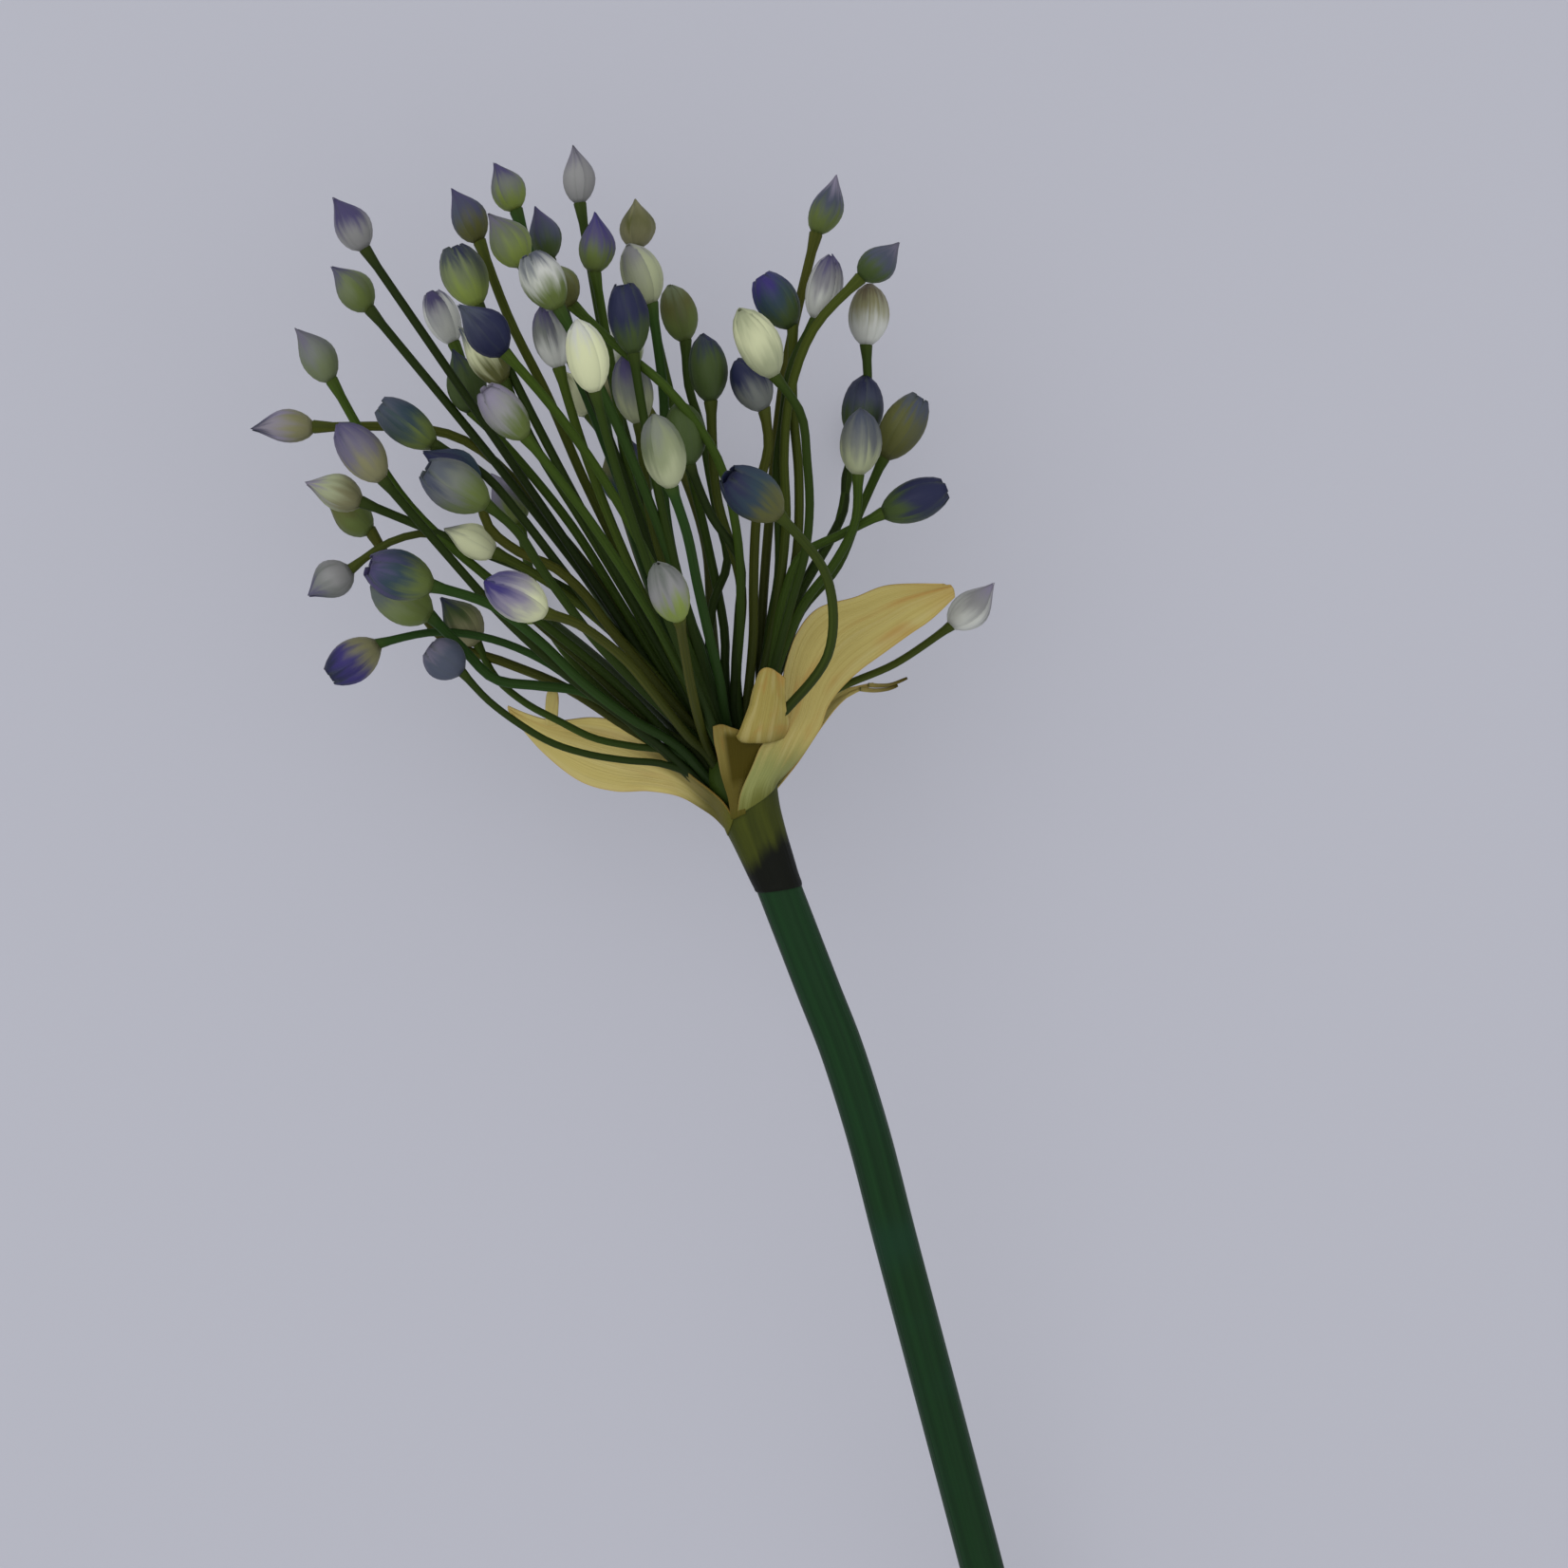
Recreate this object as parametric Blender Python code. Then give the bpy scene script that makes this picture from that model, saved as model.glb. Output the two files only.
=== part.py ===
"""A cut allium flower lying on its side.

A long bare stem ends in a swollen neck. Four papery bracts, what is left of the sheath
that once wrapped the head, spread from the neck's top. Above them a loose head of buds
on slender stalks fans out from one point, the crown. The flower rests on the lowest
buds of its head and on the cut end of its stem.
"""

import math

import bmesh
import bpy
from mathutils import Matrix, Vector

MM = 0.001                              # every size and place below is in millimetres

# Driving sizes. Places are measured from the crown: +X right, +Y towards the head, +Z up.
CROWN = Vector((6.48, 49.18, 43.5))     # the crown's own place in the part's frame
STEM_RADIUS = 3.2
NECK_JOINT = -16.9                      # where stem and neck meet, along the neck's axis
NECK_TOP = -5.2                         # the neck's upper face, which carries the head
NECK_RADII = ((-16.9, 3.3), (-13.4, 3.6), (-10.6, 3.85), (-8.0, 4.25), (-5.2, 4.45))
NECK_AXIS = Vector((-0.356, 0.930, 0.09)).normalized()
NECK_SIDE = NECK_AXIS.cross(Vector((0, 0, 1))).normalized()
NECK_FRONT = NECK_SIDE.cross(NECK_AXIS)
NECK_CENTRE = Vector((0.4, 0.15, 0.0))  # the neck's axis passes this point
CORE_RADIUS = 4.6                       # the fleshy cushion that the stalks grow from
BRACT_GAP = 0.35                        # clear of the neck
BRACT_THICK = 0.7
SEAM = 0.3                              # between pieces that meet
STALK_ROOT = 2.2                        # how far from the crown's middle a stalk starts
STALK = 0.78                            # radius of a stalk
THIN = 0.58                             # radius of the thin stalks low on both sides
STEM_SIDES = 12
STALK_SIDES = 6

# The flower is laid out as it is seen from straight above, from this far over the crown.
VIEW_HEIGHT = 1200.0
VIEW_MIDDLE = Vector((7.3, -0.6, 0.0))

# The stem's middle line from the neck to the cut end, as seen from above, with heights.
STEM_LINE = (
    (6.84, -16.7, -1.63), (12.2, -30.5, -3.9), (16.0, -40.3, -6.0), (19.9, -52.9, -8.9),
    (23.5, -66.9, -12.2), (27.2, -80.9, -15.7), (30.9, -94.9, -19.3), (36.5, -116.2, -24.9),
    (45.2, -150.0, -32.9), (53.9, -184.0, -40.61),
)
CUT_SLANT = math.radians(22.0)

# Bud outlines: share of the length, share of half the width.
POINTED = ((0.10, 0.66), (0.26, 0.94), (0.42, 1.00), (0.60, 0.82), (0.80, 0.42), (1.00, 0.08))
ROUND = ((0.10, 0.62), (0.26, 0.90), (0.44, 1.00), (0.66, 0.92), (0.86, 0.60), (1.00, 0.18))
BLUNT = ((0.10, 0.60), (0.28, 0.87), (0.50, 1.00), (0.72, 0.93), (0.89, 0.70), (1.00, 0.40))
HOOK = {POINTED: 0.09, ROUND: 0.04, BLUNT: 0.0}     # how far a tip bends, as a share of the length

# Each bud: place of its foot seen from above, height, heading in degrees, length seen,
# width, outline and its stalk's radius. The outer left buds come first.
BUDS = (
    (-54.5, 78.3, 4, 122, 9.0, 5.5, POINTED, STALK),
    (-53.8, 69.4, -6, 132, 8.7, 5.3, POINTED, STALK),
    (-59.4, 58.9, 2, 125, 9.5, 5.3, POINTED, STALK),
    (-62.0, 52.1, -9, 182, 9.0, 5.0, POINTED, STALK),
    (-51.9, 44.3, 14, 129, 10.5, 6.2, ROUND, STALK),
    (-44.3, 49.4, 8, 143, 10.2, 5.8, BLUNT, STALK),
    (-36.5, 40.6, 24, 150, 10.4, 7.0, BLUNT, STALK),
    (-37.7, 43.0, 10, 147, 10.0, 6.0, POINTED, STALK),
    (-55.0, 41.0, 2, 161, 8.9, 5.3, POINTED, STALK),
    (-53.6, 36.6, -8, 145, 8.5, 5.2, POINTED, STALK),
    # upper left
    (-37.6, 79.4, -4, 118, 9.0, 5.3, POINTED, STALK),
    (-37.8, 70.1, 6, 115, 9.5, 6.6, BLUNT, STALK),
    (-33.9, 63.0, 20, 134, 9.7, 6.4, POINTED, STALK),
    (-41.4, 64.4, -14, 114, 8.5, 5.2, BLUNT, STALK),
    (-38.6, 54.2, -4, 108, 10.0, 6.0, POINTED, STALK),
    (-32.2, 84.0, -10, 115, 8.0, 5.2, POINTED, STALK),
    (-31.2, 75.9, 10, 124, 9.2, 6.0, POINTED, STALK),
    (-27.2, 76.7, -16, 106, 8.5, 4.8, POINTED, STALK),
    (-25.9, 69.6, 20, 119, 9.0, 6.2, BLUNT, STALK),
    (-23.9, 70.0, 12, 125, 8.0, 5.5, POINTED, STALK),
    (-22.8, 85.0, 0, 97, 8.8, 4.8, POINTED, STALK),
    # top and middle
    (-20.6, 74.8, 8, 90, 9.0, 5.3, POINTED, STALK),
    (-14.4, 78.4, -12, 92, 7.5, 5.3, POINTED, STALK),
    (-12.2, 70.2, 2, 111, 9.6, 5.9, ROUND, STALK),
    (-14.9, 62.9, 18, 98, 10.3, 5.9, BLUNT, STALK),
    (-20.6, 57.3, 32, 104, 10.6, 6.0, ROUND, STALK),
    (-25.9, 60.8, 10, 105, 9.5, 5.5, ROUND, STALK),
    (-21.3, 53.9, -12, 123, 8.0, 5.0, POINTED, STALK),
    (-19.3, 54.2, -22, 100, 8.0, 5.0, POINTED, STALK),
    (-14.0, 52.6, 12, 103, 10.3, 5.9, ROUND, STALK),
    (-30.8, 50.5, 28, 130, 9.3, 5.8, BLUNT, STALK),
    (-7.2, 64.7, -8, 106, 8.9, 5.4, ROUND, STALK),
    (-3.5, 55.8, 6, 97, 10.1, 5.7, ROUND, STALK),
    (-9.3, 43.2, 34, 104, 10.7, 6.2, ROUND, STALK),
    (-6.6, 46.5, 14, 100, 9.5, 5.8, ROUND, STALK),
    (-8.1, 23.5, 30, 112, 9.0, 5.6, ROUND, STALK),
    (6.7, 39.0, 30, 142, 9.6, 7.0, BLUNT, STALK),
    # upper right
    (8.6, 66.8, 2, 122, 9.0, 6.3, BLUNT, STALK),
    (5.9, 59.6, 22, 118, 11.0, 6.3, ROUND, STALK),
    (4.4, 54.6, 8, 119, 8.6, 5.7, ROUND, STALK),
    (12.0, 80.5, -6, 71, 9.5, 4.9, POINTED, STALK),
    (12.0, 67.9, 4, 77, 10.0, 5.3, ROUND, STALK),
    (18.6, 74.0, 8, 43, 7.8, 5.2, POINTED, STALK),
    (19.4, 64.1, -5, 87, 9.4, 6.0, ROUND, STALK),
    (18.3, 50.0, -4, 84, 10.0, 6.2, ROUND, STALK),
    (18.2, 45.0, 8, 87, 9.8, 6.0, ROUND, STALK),
    (22.0, 47.5, 0, 59, 10.6, 6.3, BLUNT, STALK),
    (21.8, 39.3, 5, 22, 10.3, 6.0, BLUNT, STALK),
    (31.9, 22.7, -6, 45, 9.2, 5.6, POINTED, THIN),
    # lower left, on thin stalks
    (-56.6, 31.1, -4, 212, 7.6, 5.7, POINTED, THIN),
    (-44.6, 28.6, 18, 162, 9.8, 7.2, BLUNT, STALK),
    (-44.8, 24.1, 4, 152, 10.0, 7.0, ROUND, STALK),
    (-52.6, 20.1, -2, 214, 8.8, 6.2, BLUNT, THIN),
    (-27.9, 24.6, 30, 152, 9.8, 6.6, ROUND, STALK),
    (-37.9, 20.1, -4, 129, 9.0, 5.8, POINTED, THIN),
    (-40.2, 15.9, 8, 143, 6.2, 6.2, BLUNT, THIN),
    (-35.3, 33.5, 2, 155, 8.5, 5.0, POINTED, STALK),
    (-31.6, 37.7, -20, 120, 9.0, 5.6, POINTED, STALK),
    # inner buds half hidden by the others
    (-16.6, 40.9, -20, 106, 8.6, 4.8, POINTED, STALK),
    (-13.5, 42.0, -30, 104, 9.0, 5.6, POINTED, STALK),
    (-33.9, 58.7, 6, 130, 10.6, 5.6, POINTED, STALK),
)

# Buds on the underside that carry the head: place of the foot, heading, length, width.
RESTING_BUDS = (
    (-37.5, 41.8, 148, 9.0, 6.0),
    (18.0, 47.6, 82, 9.0, 6.0),
    (-16.0, 60.0, 100, 9.0, 6.0),
    (-28.0, 24.2, 152, 8.6, 5.8),
    (6.4, 39.2, 142, 8.6, 5.8),
)

# Routes of the stalks that stand clear of the others, by the place of their bud in the
# list: points that they pass, seen from above, from the crown out, some with a height.
ROUTES = {
    0: ((-18.5, 25.8), (-36.5, 52.1)),
    1: ((-17.3, 23.5), (-35.2, 46.7)),
    2: ((-16.3, 13.2), (-32.6, 26.7), (-48.3, 40.9)),
    3: ((-12.3, 17.8), (-25, 35.4), (-40.5, 50.4)),
    4: ((-12.2, 6), (-23.3, 14.3), (-33.6, 23.5), (-42.9, 33.8)),
    5: ((-5.1, 6.5), (-10.5, 12.9), (-16, 19.3), (-21.3, 25.7), (-26.5, 32.4), (-31.6, 39),
        (-37.2, 45.3)),
    6: ((-4.1, 4.3), (-8.5, 8.5), (-13, 12.7), (-17.3, 17), (-21.4, 21.6), (-25.1, 26.5), (-28.7, 31.5),
        (-32, 36.6)),
    7: ((-3.4, 4.7), (-7.2, 9.2), (-11, 13.7), (-14.8, 18.2), (-18.6, 22.7), (-22.1, 27.4), (-26.5, 31.3),
        (-31.9, 33.7), (-36.3, 37.4)),
    8: ((-11.1, 13.6), (-22.8, 26.8), (-38.7, 34.2)),
    9: ((-8.8, 3.2), (-16.8, 8.4), (-24.9, 13.6), (-33.8, 17.3), (-42.8, 20.7), (-48.5, 28.5)),
    10: ((-5.5, 11.3), (-11.3, 22.4), (-17, 33.6), (-22.5, 44.9), (-27.5, 56.5), (-33.1, 67.7)),
    15: ((-5.2, 14.1), (-10.8, 28), (-16.2, 42), (-21.6, 56), (-27.5, 69.8)),
    16: ((-6.9, 19.4), (-14.1, 38.7), (-21.6, 57.8)),
    19: ((0.4, 12, 2), (0.9, 24, 6), (0.4, 36, 11), (-2.6, 47.6, 15), (-9.6, 57.4, 17), (-17.4, 64, 15)),
    20: ((-8.9, 28), (-17.4, 56.2)),
    21: ((-4.7, 14.9), (-9.8, 29.6), (-15.4, 44.1), (-17.9, 59.5)),
    23: ((-3, 14.1), (-7.8, 27.6), (-10.4, 41.6), (-10.4, 56)),
    29: ((-3.7, 13.2), (-8.5, 26), (-12.4, 39.1)),
    31: ((-0.8, 6.7), (-2.1, 13.3), (-3.7, 19.8), (-3.1, 26.2), (-1, 32.2), (-2.4, 38.7), (-3.7, 45.3),
         (-4.9, 51.9), (-6.8, 58.2)),
    32: ((0.3, 14.2), (1, 28.3), (-2.6, 41.8)),
    33: ((-0.9, 7.4), (-2.2, 14.7), (-3.9, 21.9), (-5.5, 29), (-7, 36.3)),
    34: ((0.2, 8.2), (0.1, 16.3), (0.6, 24.3), (0.8, 32.3), (-3.5, 39.1)),
    35: ((-3.2, 3, 2), (-4.9, 7.6, 7), (-6.3, 13, 15), (-7.3, 18.6, 23)),
    36: ((6.9, 9.7), (13.9, 18.8), (13.6, 30.1)),
    37: ((3.6, 11), (6.6, 21.9), (9.1, 32.9), (9.5, 44.2), (8.6, 55.5)),
    38: ((2.7, 6.7), (4.9, 13.2), (6.7, 19.9), (8.5, 26.6), (10.4, 33.3), (11.1, 40.2), (10.7, 47.1),
         (9.8, 54)),
    39: ((1.1, 5.6), (1.8, 11.1), (2.4, 16.5), (2.8, 22), (2.8, 27.5), (2.9, 33), (3.2, 38.5),
         (3.8, 43.9), (5, 49.3)),
    40: ((3.9, 20.2), (5.3, 40.5), (7.5, 60.7)),
    41: ((2.3, 7.6), (4.1, 15.2), (5.2, 22.8), (6.5, 30.4), (6.5, 38.1), (6.2, 45.9), (7.2, 53.5),
         (8.4, 61.1)),
    42: ((3, 9.6), (5, 19.1), (6.7, 28.8), (7.6, 38.5), (7.3, 48.2), (8.4, 58), (11.9, 66.9)),
    43: ((2.6, 6.5), (4.7, 12.9), (6.6, 19.4), (8.8, 25.8), (12.1, 31.7), (15.3, 37.7), (16.7, 44.2),
         (18.3, 50.8), (19.6, 57.4)),
    44: ((2.2, 5.2), (3.9, 10.3), (5.6, 15.3), (7.1, 20.5), (8.7, 25.6), (11, 30.4), (13.8, 35),
         (16.1, 39.8), (16.5, 45.1)),
    45: ((2.9, 6.7), (5.3, 13.3), (7.5, 19.9), (10.4, 26.3), (14.7, 31.9), (17.8, 38.1)),
    46: ((3.7, 8.3), (6.7, 16.5), (9.7, 24.7), (15.2, 31.5), (18.5, 39.6)),
    47: ((2.5, 6.7), (4.5, 13.2), (5.8, 20), (7.2, 26.7), (9.8, 33), (15.7, 36.2)),
    48: ((7, 7.5), (14.8, 13.2), (23.8, 17.2)),
    49: ((-5.6, 4), (-11.6, 8), (-17.2, 12.5), (-22.4, 17.4), (-27.8, 22.1), (-33.2, 26.9), (-38.6, 31.6),
         (-44.1, 36.2), (-50.8, 35.1)),
    50: ((-7.6, 4.3), (-15.2, 9), (-22.4, 14.4), (-28.9, 20.6), (-36.1, 25.9)),
    51: ((-5.9, 2.3), (-11.7, 5.3), (-16.7, 9.6), (-22.4, 13), (-28.9, 13.9), (-35.4, 14.9),
         (-40.1, 19.4)),
    52: ((-7.9, 1.7), (-14.2, 7.5), (-21.1, 12.5), (-28, 17.5), (-35.9, 20.8), (-44.3, 21.8)),
    53: ((-3.4, 3), (-6.8, 6.4), (-9.8, 10.1), (-12.8, 13.8), (-15.9, 17.5), (-19.5, 20.6),
         (-23.5, 23.2)),
    54: ((-5.3, 0.6), (-9.7, 4.1), (-15.2, 5), (-20.8, 6.2), (-25.9, 8.7), (-30.9, 11.4), (-35.2, 15.1)),
    55: ((-5.3, 0), (-10.4, 2.3), (-16, 2.9), (-21.6, 3.8), (-27, 5.5), (-31.8, 8.3), (-36.4, 11.8)),
}
# Stalks of resting buds run below others on the same way out.
ROUTES.update({61: ROUTES[6], 62: ROUTES[44], 64: ROUTES[53], 65: ROUTES[36]})
ROUTE_RISE = 1.3                        # how late a stalk on a route climbs to its bud


def clear_scene():
    for thing in list(bpy.data.objects):
        bpy.data.objects.remove(thing, do_unlink=True)


def seen(x, y, z):
    """A place seen from above in the crown's plane, moved to its height along the line of sight."""
    shrink = 1.0 - z / VIEW_HEIGHT
    return Vector((VIEW_MIDDLE.x + (x - VIEW_MIDDLE.x) * shrink,
                   VIEW_MIDDLE.y + (y - VIEW_MIDDLE.y) * shrink, z))


def pointing(heading, pitch=0.0):
    """Unit vector at a heading (degrees from +X towards +Y) and a pitch above the ground."""
    turn = math.radians(heading)
    rise = math.radians(pitch)
    return Vector((math.cos(turn) * math.cos(rise), math.sin(turn) * math.cos(rise), math.sin(rise)))


def around_neck(height, radius, degrees):
    """A point beside the neck: 0 is its right side, 90 its front, 180 its left side."""
    angle = math.radians(degrees)
    across = NECK_SIDE * math.cos(angle) + NECK_FRONT * math.sin(angle)
    return NECK_CENTRE + NECK_AXIS * height + across * radius


def spline(points, share):
    """Point on a smooth curve through the given points, at a share from 0 to 1."""
    spans = len(points) - 1
    span = min(int(share * spans), spans - 1)
    t = share * spans - span
    before = points[max(span - 1, 0)]
    start = points[span]
    end = points[span + 1]
    after = points[min(span + 2, spans)]
    return 0.5 * (2.0 * start + (end - before) * t
                  + (2.0 * before - 5.0 * start + 4.0 * end - after) * t * t
                  + (3.0 * (start - end) + after - before) * t * t * t)


def bezier(ends, share):
    """Point on a cubic curve given by its start, two handles and end."""
    rest = 1.0 - share
    return (ends[0] * rest ** 3 + ends[1] * 3.0 * rest * rest * share
            + ends[2] * 3.0 * rest * share * share + ends[3] * share ** 3)


def ring_place(centre, along, up, radius, stretch=1.0):
    """Matrix that lays a unit circle square to a direction, with its first point upwards."""
    side = up.cross(along)
    turn = Matrix((side, up * stretch, along)).transposed().to_4x4()
    return Matrix.Translation((CROWN + centre) * MM) @ turn @ Matrix.Scale(radius * MM, 4)


def sweep(bm, sides, places):
    """Closed skin over a row of circles, made by drawing the first one out from place to place."""
    bmesh.ops.create_circle(bm, cap_ends=False, radius=1.0, segments=sides, matrix=places[0])
    first = list(bm.edges)
    edges = first
    for before, after in zip(places, places[1:]):
        grown = bmesh.ops.extrude_edge_only(bm, edges=edges)["geom"]
        ring = [item for item in grown if isinstance(item, bmesh.types.BMVert)]
        edges = [item for item in grown
                 if isinstance(item, bmesh.types.BMEdge) and all(v in ring for v in item.verts)]
        bmesh.ops.transform(bm, matrix=after @ before.inverted(), verts=ring)
    bmesh.ops.edgeloop_fill(bm, edges=first)
    bmesh.ops.edgeloop_fill(bm, edges=edges)
    bmesh.ops.recalc_face_normals(bm, faces=bm.faces)


def add_object(name, bm, material, smooth_below=50.0):
    mesh = bpy.data.meshes.new(name)
    bm.to_mesh(mesh)
    bm.free()
    mesh.shade_smooth()
    mesh.set_sharp_from_angle(angle=math.radians(smooth_below))
    mesh.materials.append(material)
    thing = bpy.data.objects.new(name, mesh)
    bpy.context.scene.collection.objects.link(thing)
    return thing


def plain_material(name, colour, roughness):
    material = bpy.data.materials.new(name)
    material.use_nodes = True
    surface = material.node_tree.nodes["Principled BSDF"]
    surface.inputs["Base Color"].default_value = (*colour, 1.0)
    surface.inputs["Roughness"].default_value = roughness
    surface.inputs["Metallic"].default_value = 0.0
    return material


def build_stem():
    """The stem, a solid round stalk that curves and sinks from the neck to its slanting cut."""
    line = [NECK_CENTRE + NECK_AXIS * (NECK_JOINT - SEAM)]
    line += [seen(*place) for place in STEM_LINE[1:]]
    steps = 2 * (len(line) - 1)
    centres = [spline(line, step / steps) for step in range(steps + 1)]
    places = []
    for step, centre in enumerate(centres):
        ahead = centres[min(step + 1, steps)] - centres[max(step - 1, 0)]
        along = -NECK_AXIS if step == 0 else ahead.normalized()
        up = (Vector((0, 0, 1)) - along * along.z).normalized()
        stretch = 1.0
        if step == steps:
            slant = Matrix.Rotation(CUT_SLANT, 3, up.cross(along))
            along = slant @ along
            up = slant @ up
            stretch = 1.0 / math.cos(CUT_SLANT)
        places.append(ring_place(centre, along, up, STEM_RADIUS, stretch))
    bm = bmesh.new()
    sweep(bm, STEM_SIDES, places)
    add_object("stem", bm, plain_material("stem green", (0.012, 0.045, 0.018), 0.5))


def build_neck():
    """The neck, a turned piece that swells from the stem's width to the head's seat."""
    places = [ring_place(NECK_CENTRE + NECK_AXIS * height, NECK_AXIS, NECK_FRONT, radius)
              for height, radius in NECK_RADII]
    bm = bmesh.new()
    sweep(bm, 16, places)
    add_object("neck", bm, plain_material("neck olive", (0.09, 0.10, 0.02), 0.5))


def free_stalk(foot, direction):
    """Fine points along a stalk that leaves the crown outwards and arrives along its bud."""
    reach = (foot - NECK_CENTRE).length
    chord = (foot - NECK_CENTRE) / reach
    mirrored = chord * (2.0 * chord.dot(direction)) - direction
    leave = chord.lerp(mirrored, 0.6).normalized()
    curve = (NECK_CENTRE + leave * STALK_ROOT, NECK_CENTRE + leave * (0.38 * reach),
             foot - direction * (0.33 * reach), foot)
    return [bezier(curve, step / 120) for step in range(121)]


def routed_stalk(foot, route):
    """Fine points along a stalk that passes the places of its route and rises to its bud."""
    stops = [NECK_CENTRE.xy] + [Vector(stop[:2]) for stop in route] + [foot.xy]
    lengths = [0.0]
    for here, there in zip(stops, stops[1:]):
        lengths.append(lengths[-1] + (there - here).length)
    places = [seen(*stop) if len(stop) == 3 else seen(*stop, foot.z * (far / lengths[-1]) ** ROUTE_RISE)
              for stop, far in zip(route, lengths[1:])]
    leave = (places[0] - NECK_CENTRE).normalized()
    places = [NECK_CENTRE + leave * STALK_ROOT] + places + [foot]
    return [spline(places, step / 120) for step in range(121)]


def even_places(points, spans):
    """Places along a row of points, at equal lengths, and the direction at each."""
    lengths = [0.0]
    for here, there in zip(points, points[1:]):
        lengths.append(lengths[-1] + (there - here).length)
    centres = []
    alongs = []
    for step in range(spans + 1):
        far = lengths[-1] * step / spans
        nearest = min(range(len(points)), key=lambda index: abs(lengths[index] - far))
        ahead = points[min(nearest + 3, len(points) - 1)] - points[max(nearest - 3, 0)]
        centres.append(points[nearest])
        alongs.append(ahead.normalized())
    return centres, alongs


def add_bud(name, foot, direction, length, width, outline, route, radius):
    """One stalk with its bud, as one tapering sweep whose lowest edge runs straight below."""
    points = routed_stalk(foot, route) if route else free_stalk(foot, direction)
    spans = 4 if not route else 5 if len(route) < 5 else 7
    centres, alongs = even_places(points, spans)
    alongs[-1] = direction
    up = (Vector((0, 0, 1)) - direction * direction.z).normalized()
    ups = [up]
    for later, earlier in zip(reversed(alongs), reversed(alongs[:-1])):
        ups.insert(0, later.rotation_difference(earlier) @ ups[0])
    widths = [1.15] + [1.0] * (spans - 1) + [1.12]
    places = [ring_place(centre, along, side, radius * wide)
              for centre, along, side, wide in zip(centres, alongs, ups, widths)]
    aside = Vector((0, 0, 1)).cross(direction).normalized()
    for share, wide in outline:
        bend = HOOK[outline] * length * ((max(0.0, share - 0.3) / 0.7) ** 2 - share)
        centre = foot + direction * (length * share) + aside * bend
        places.append(ring_place(centre, direction, up, 0.5 * width * wide))
    bm = bmesh.new()
    sweep(bm, STALK_SIDES, places)
    return add_object(name, bm, bpy.data.materials["head"])


def build_head():
    """The head: every stalk and bud, fused to the fleshy cushion on the neck's top."""
    material = plain_material("head", (0.10, 0.16, 0.09), 0.55)
    buds = bpy.data.collections.new("buds")
    bpy.context.scene.collection.children.link(buds)
    pieces = []
    for x, y, z, heading, length, width, outline, radius in BUDS:
        foot = seen(x, y, z)
        lean = 0.5 * math.degrees(math.asin(z / (foot - NECK_CENTRE).length))
        true_length = length / math.cos(math.radians(lean))
        pieces.append(add_bud("bud", foot, pointing(heading, lean), true_length, width,
                              outline, ROUTES.get(len(pieces)), radius))
    for x, y, heading, length, width in RESTING_BUDS:
        foot = seen(x, y, 0.5 * width - CROWN.z)
        pieces.append(add_bud("bud", foot, pointing(heading), length, width, POINTED,
                              ROUTES.get(len(pieces)), STALK))
    for piece in pieces:
        bpy.context.scene.collection.objects.unlink(piece)
        buds.objects.link(piece)

    seat = NECK_TOP + SEAM
    outline = ((seat, 3.6), (-3.4, 4.2), (-1.2, CORE_RADIUS), (1.4, 4.3), (3.4, 3.0), (4.5, 1.0))
    places = [ring_place(NECK_CENTRE + NECK_AXIS * height, NECK_AXIS, NECK_FRONT, radius)
              for height, radius in outline]
    bm = bmesh.new()
    sweep(bm, 16, places)
    head = add_object("umbel", bm, material)
    union = head.modifiers.new("grown together", "BOOLEAN")
    union.operation = "UNION"
    union.operand_type = "COLLECTION"
    union.collection = buds
    union.solver = "EXACT"
    bpy.context.view_layer.objects.active = head
    bpy.ops.object.modifier_apply(modifier=union.name)
    for piece in pieces:
        bpy.data.objects.remove(piece, do_unlink=True)
    bpy.data.collections.remove(buds)
    keep_largest_body(head.data)
    head.data.shade_smooth()
    head.data.set_sharp_from_angle(angle=math.radians(50.0))


def keep_largest_body(mesh):
    """Fill the small pockets closed in between stalks, whose walls are bodies of their own."""
    bm = bmesh.new()
    bm.from_mesh(mesh)
    unseen = set(bm.verts)
    bodies = []
    while unseen:
        body = [unseen.pop()]
        for vert in body:
            for edge in vert.link_edges:
                other = edge.other_vert(vert)
                if other in unseen:
                    unseen.remove(other)
                    body.append(other)
        bodies.append(body)
    bodies.sort(key=len)
    for body in bodies[:-1]:
        bmesh.ops.delete(bm, geom=body, context="VERTS")
    bm.to_mesh(mesh)
    bm.free()


def build_bract(name, ribs, across, along, colour):
    """A papery bract, a thin waved blade drawn over ribs that run from its foot to its rim."""
    bm = bmesh.new()
    bmesh.ops.create_grid(bm, x_segments=across, y_segments=along, size=0.5)
    for vert in bm.verts:
        rows = [spline(rib, vert.co.y + 0.5) for rib in ribs]
        vert.co = (CROWN + spline(rows, vert.co.x + 0.5)) * MM
    bmesh.ops.triangulate(bm, faces=bm.faces)
    blade = add_object(name, bm, plain_material(name, colour, 0.6), 180.0)
    paper = blade.modifiers.new("paper", "SOLIDIFY")
    paper.thickness = BRACT_THICK * MM
    paper.offset = 0.0


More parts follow.
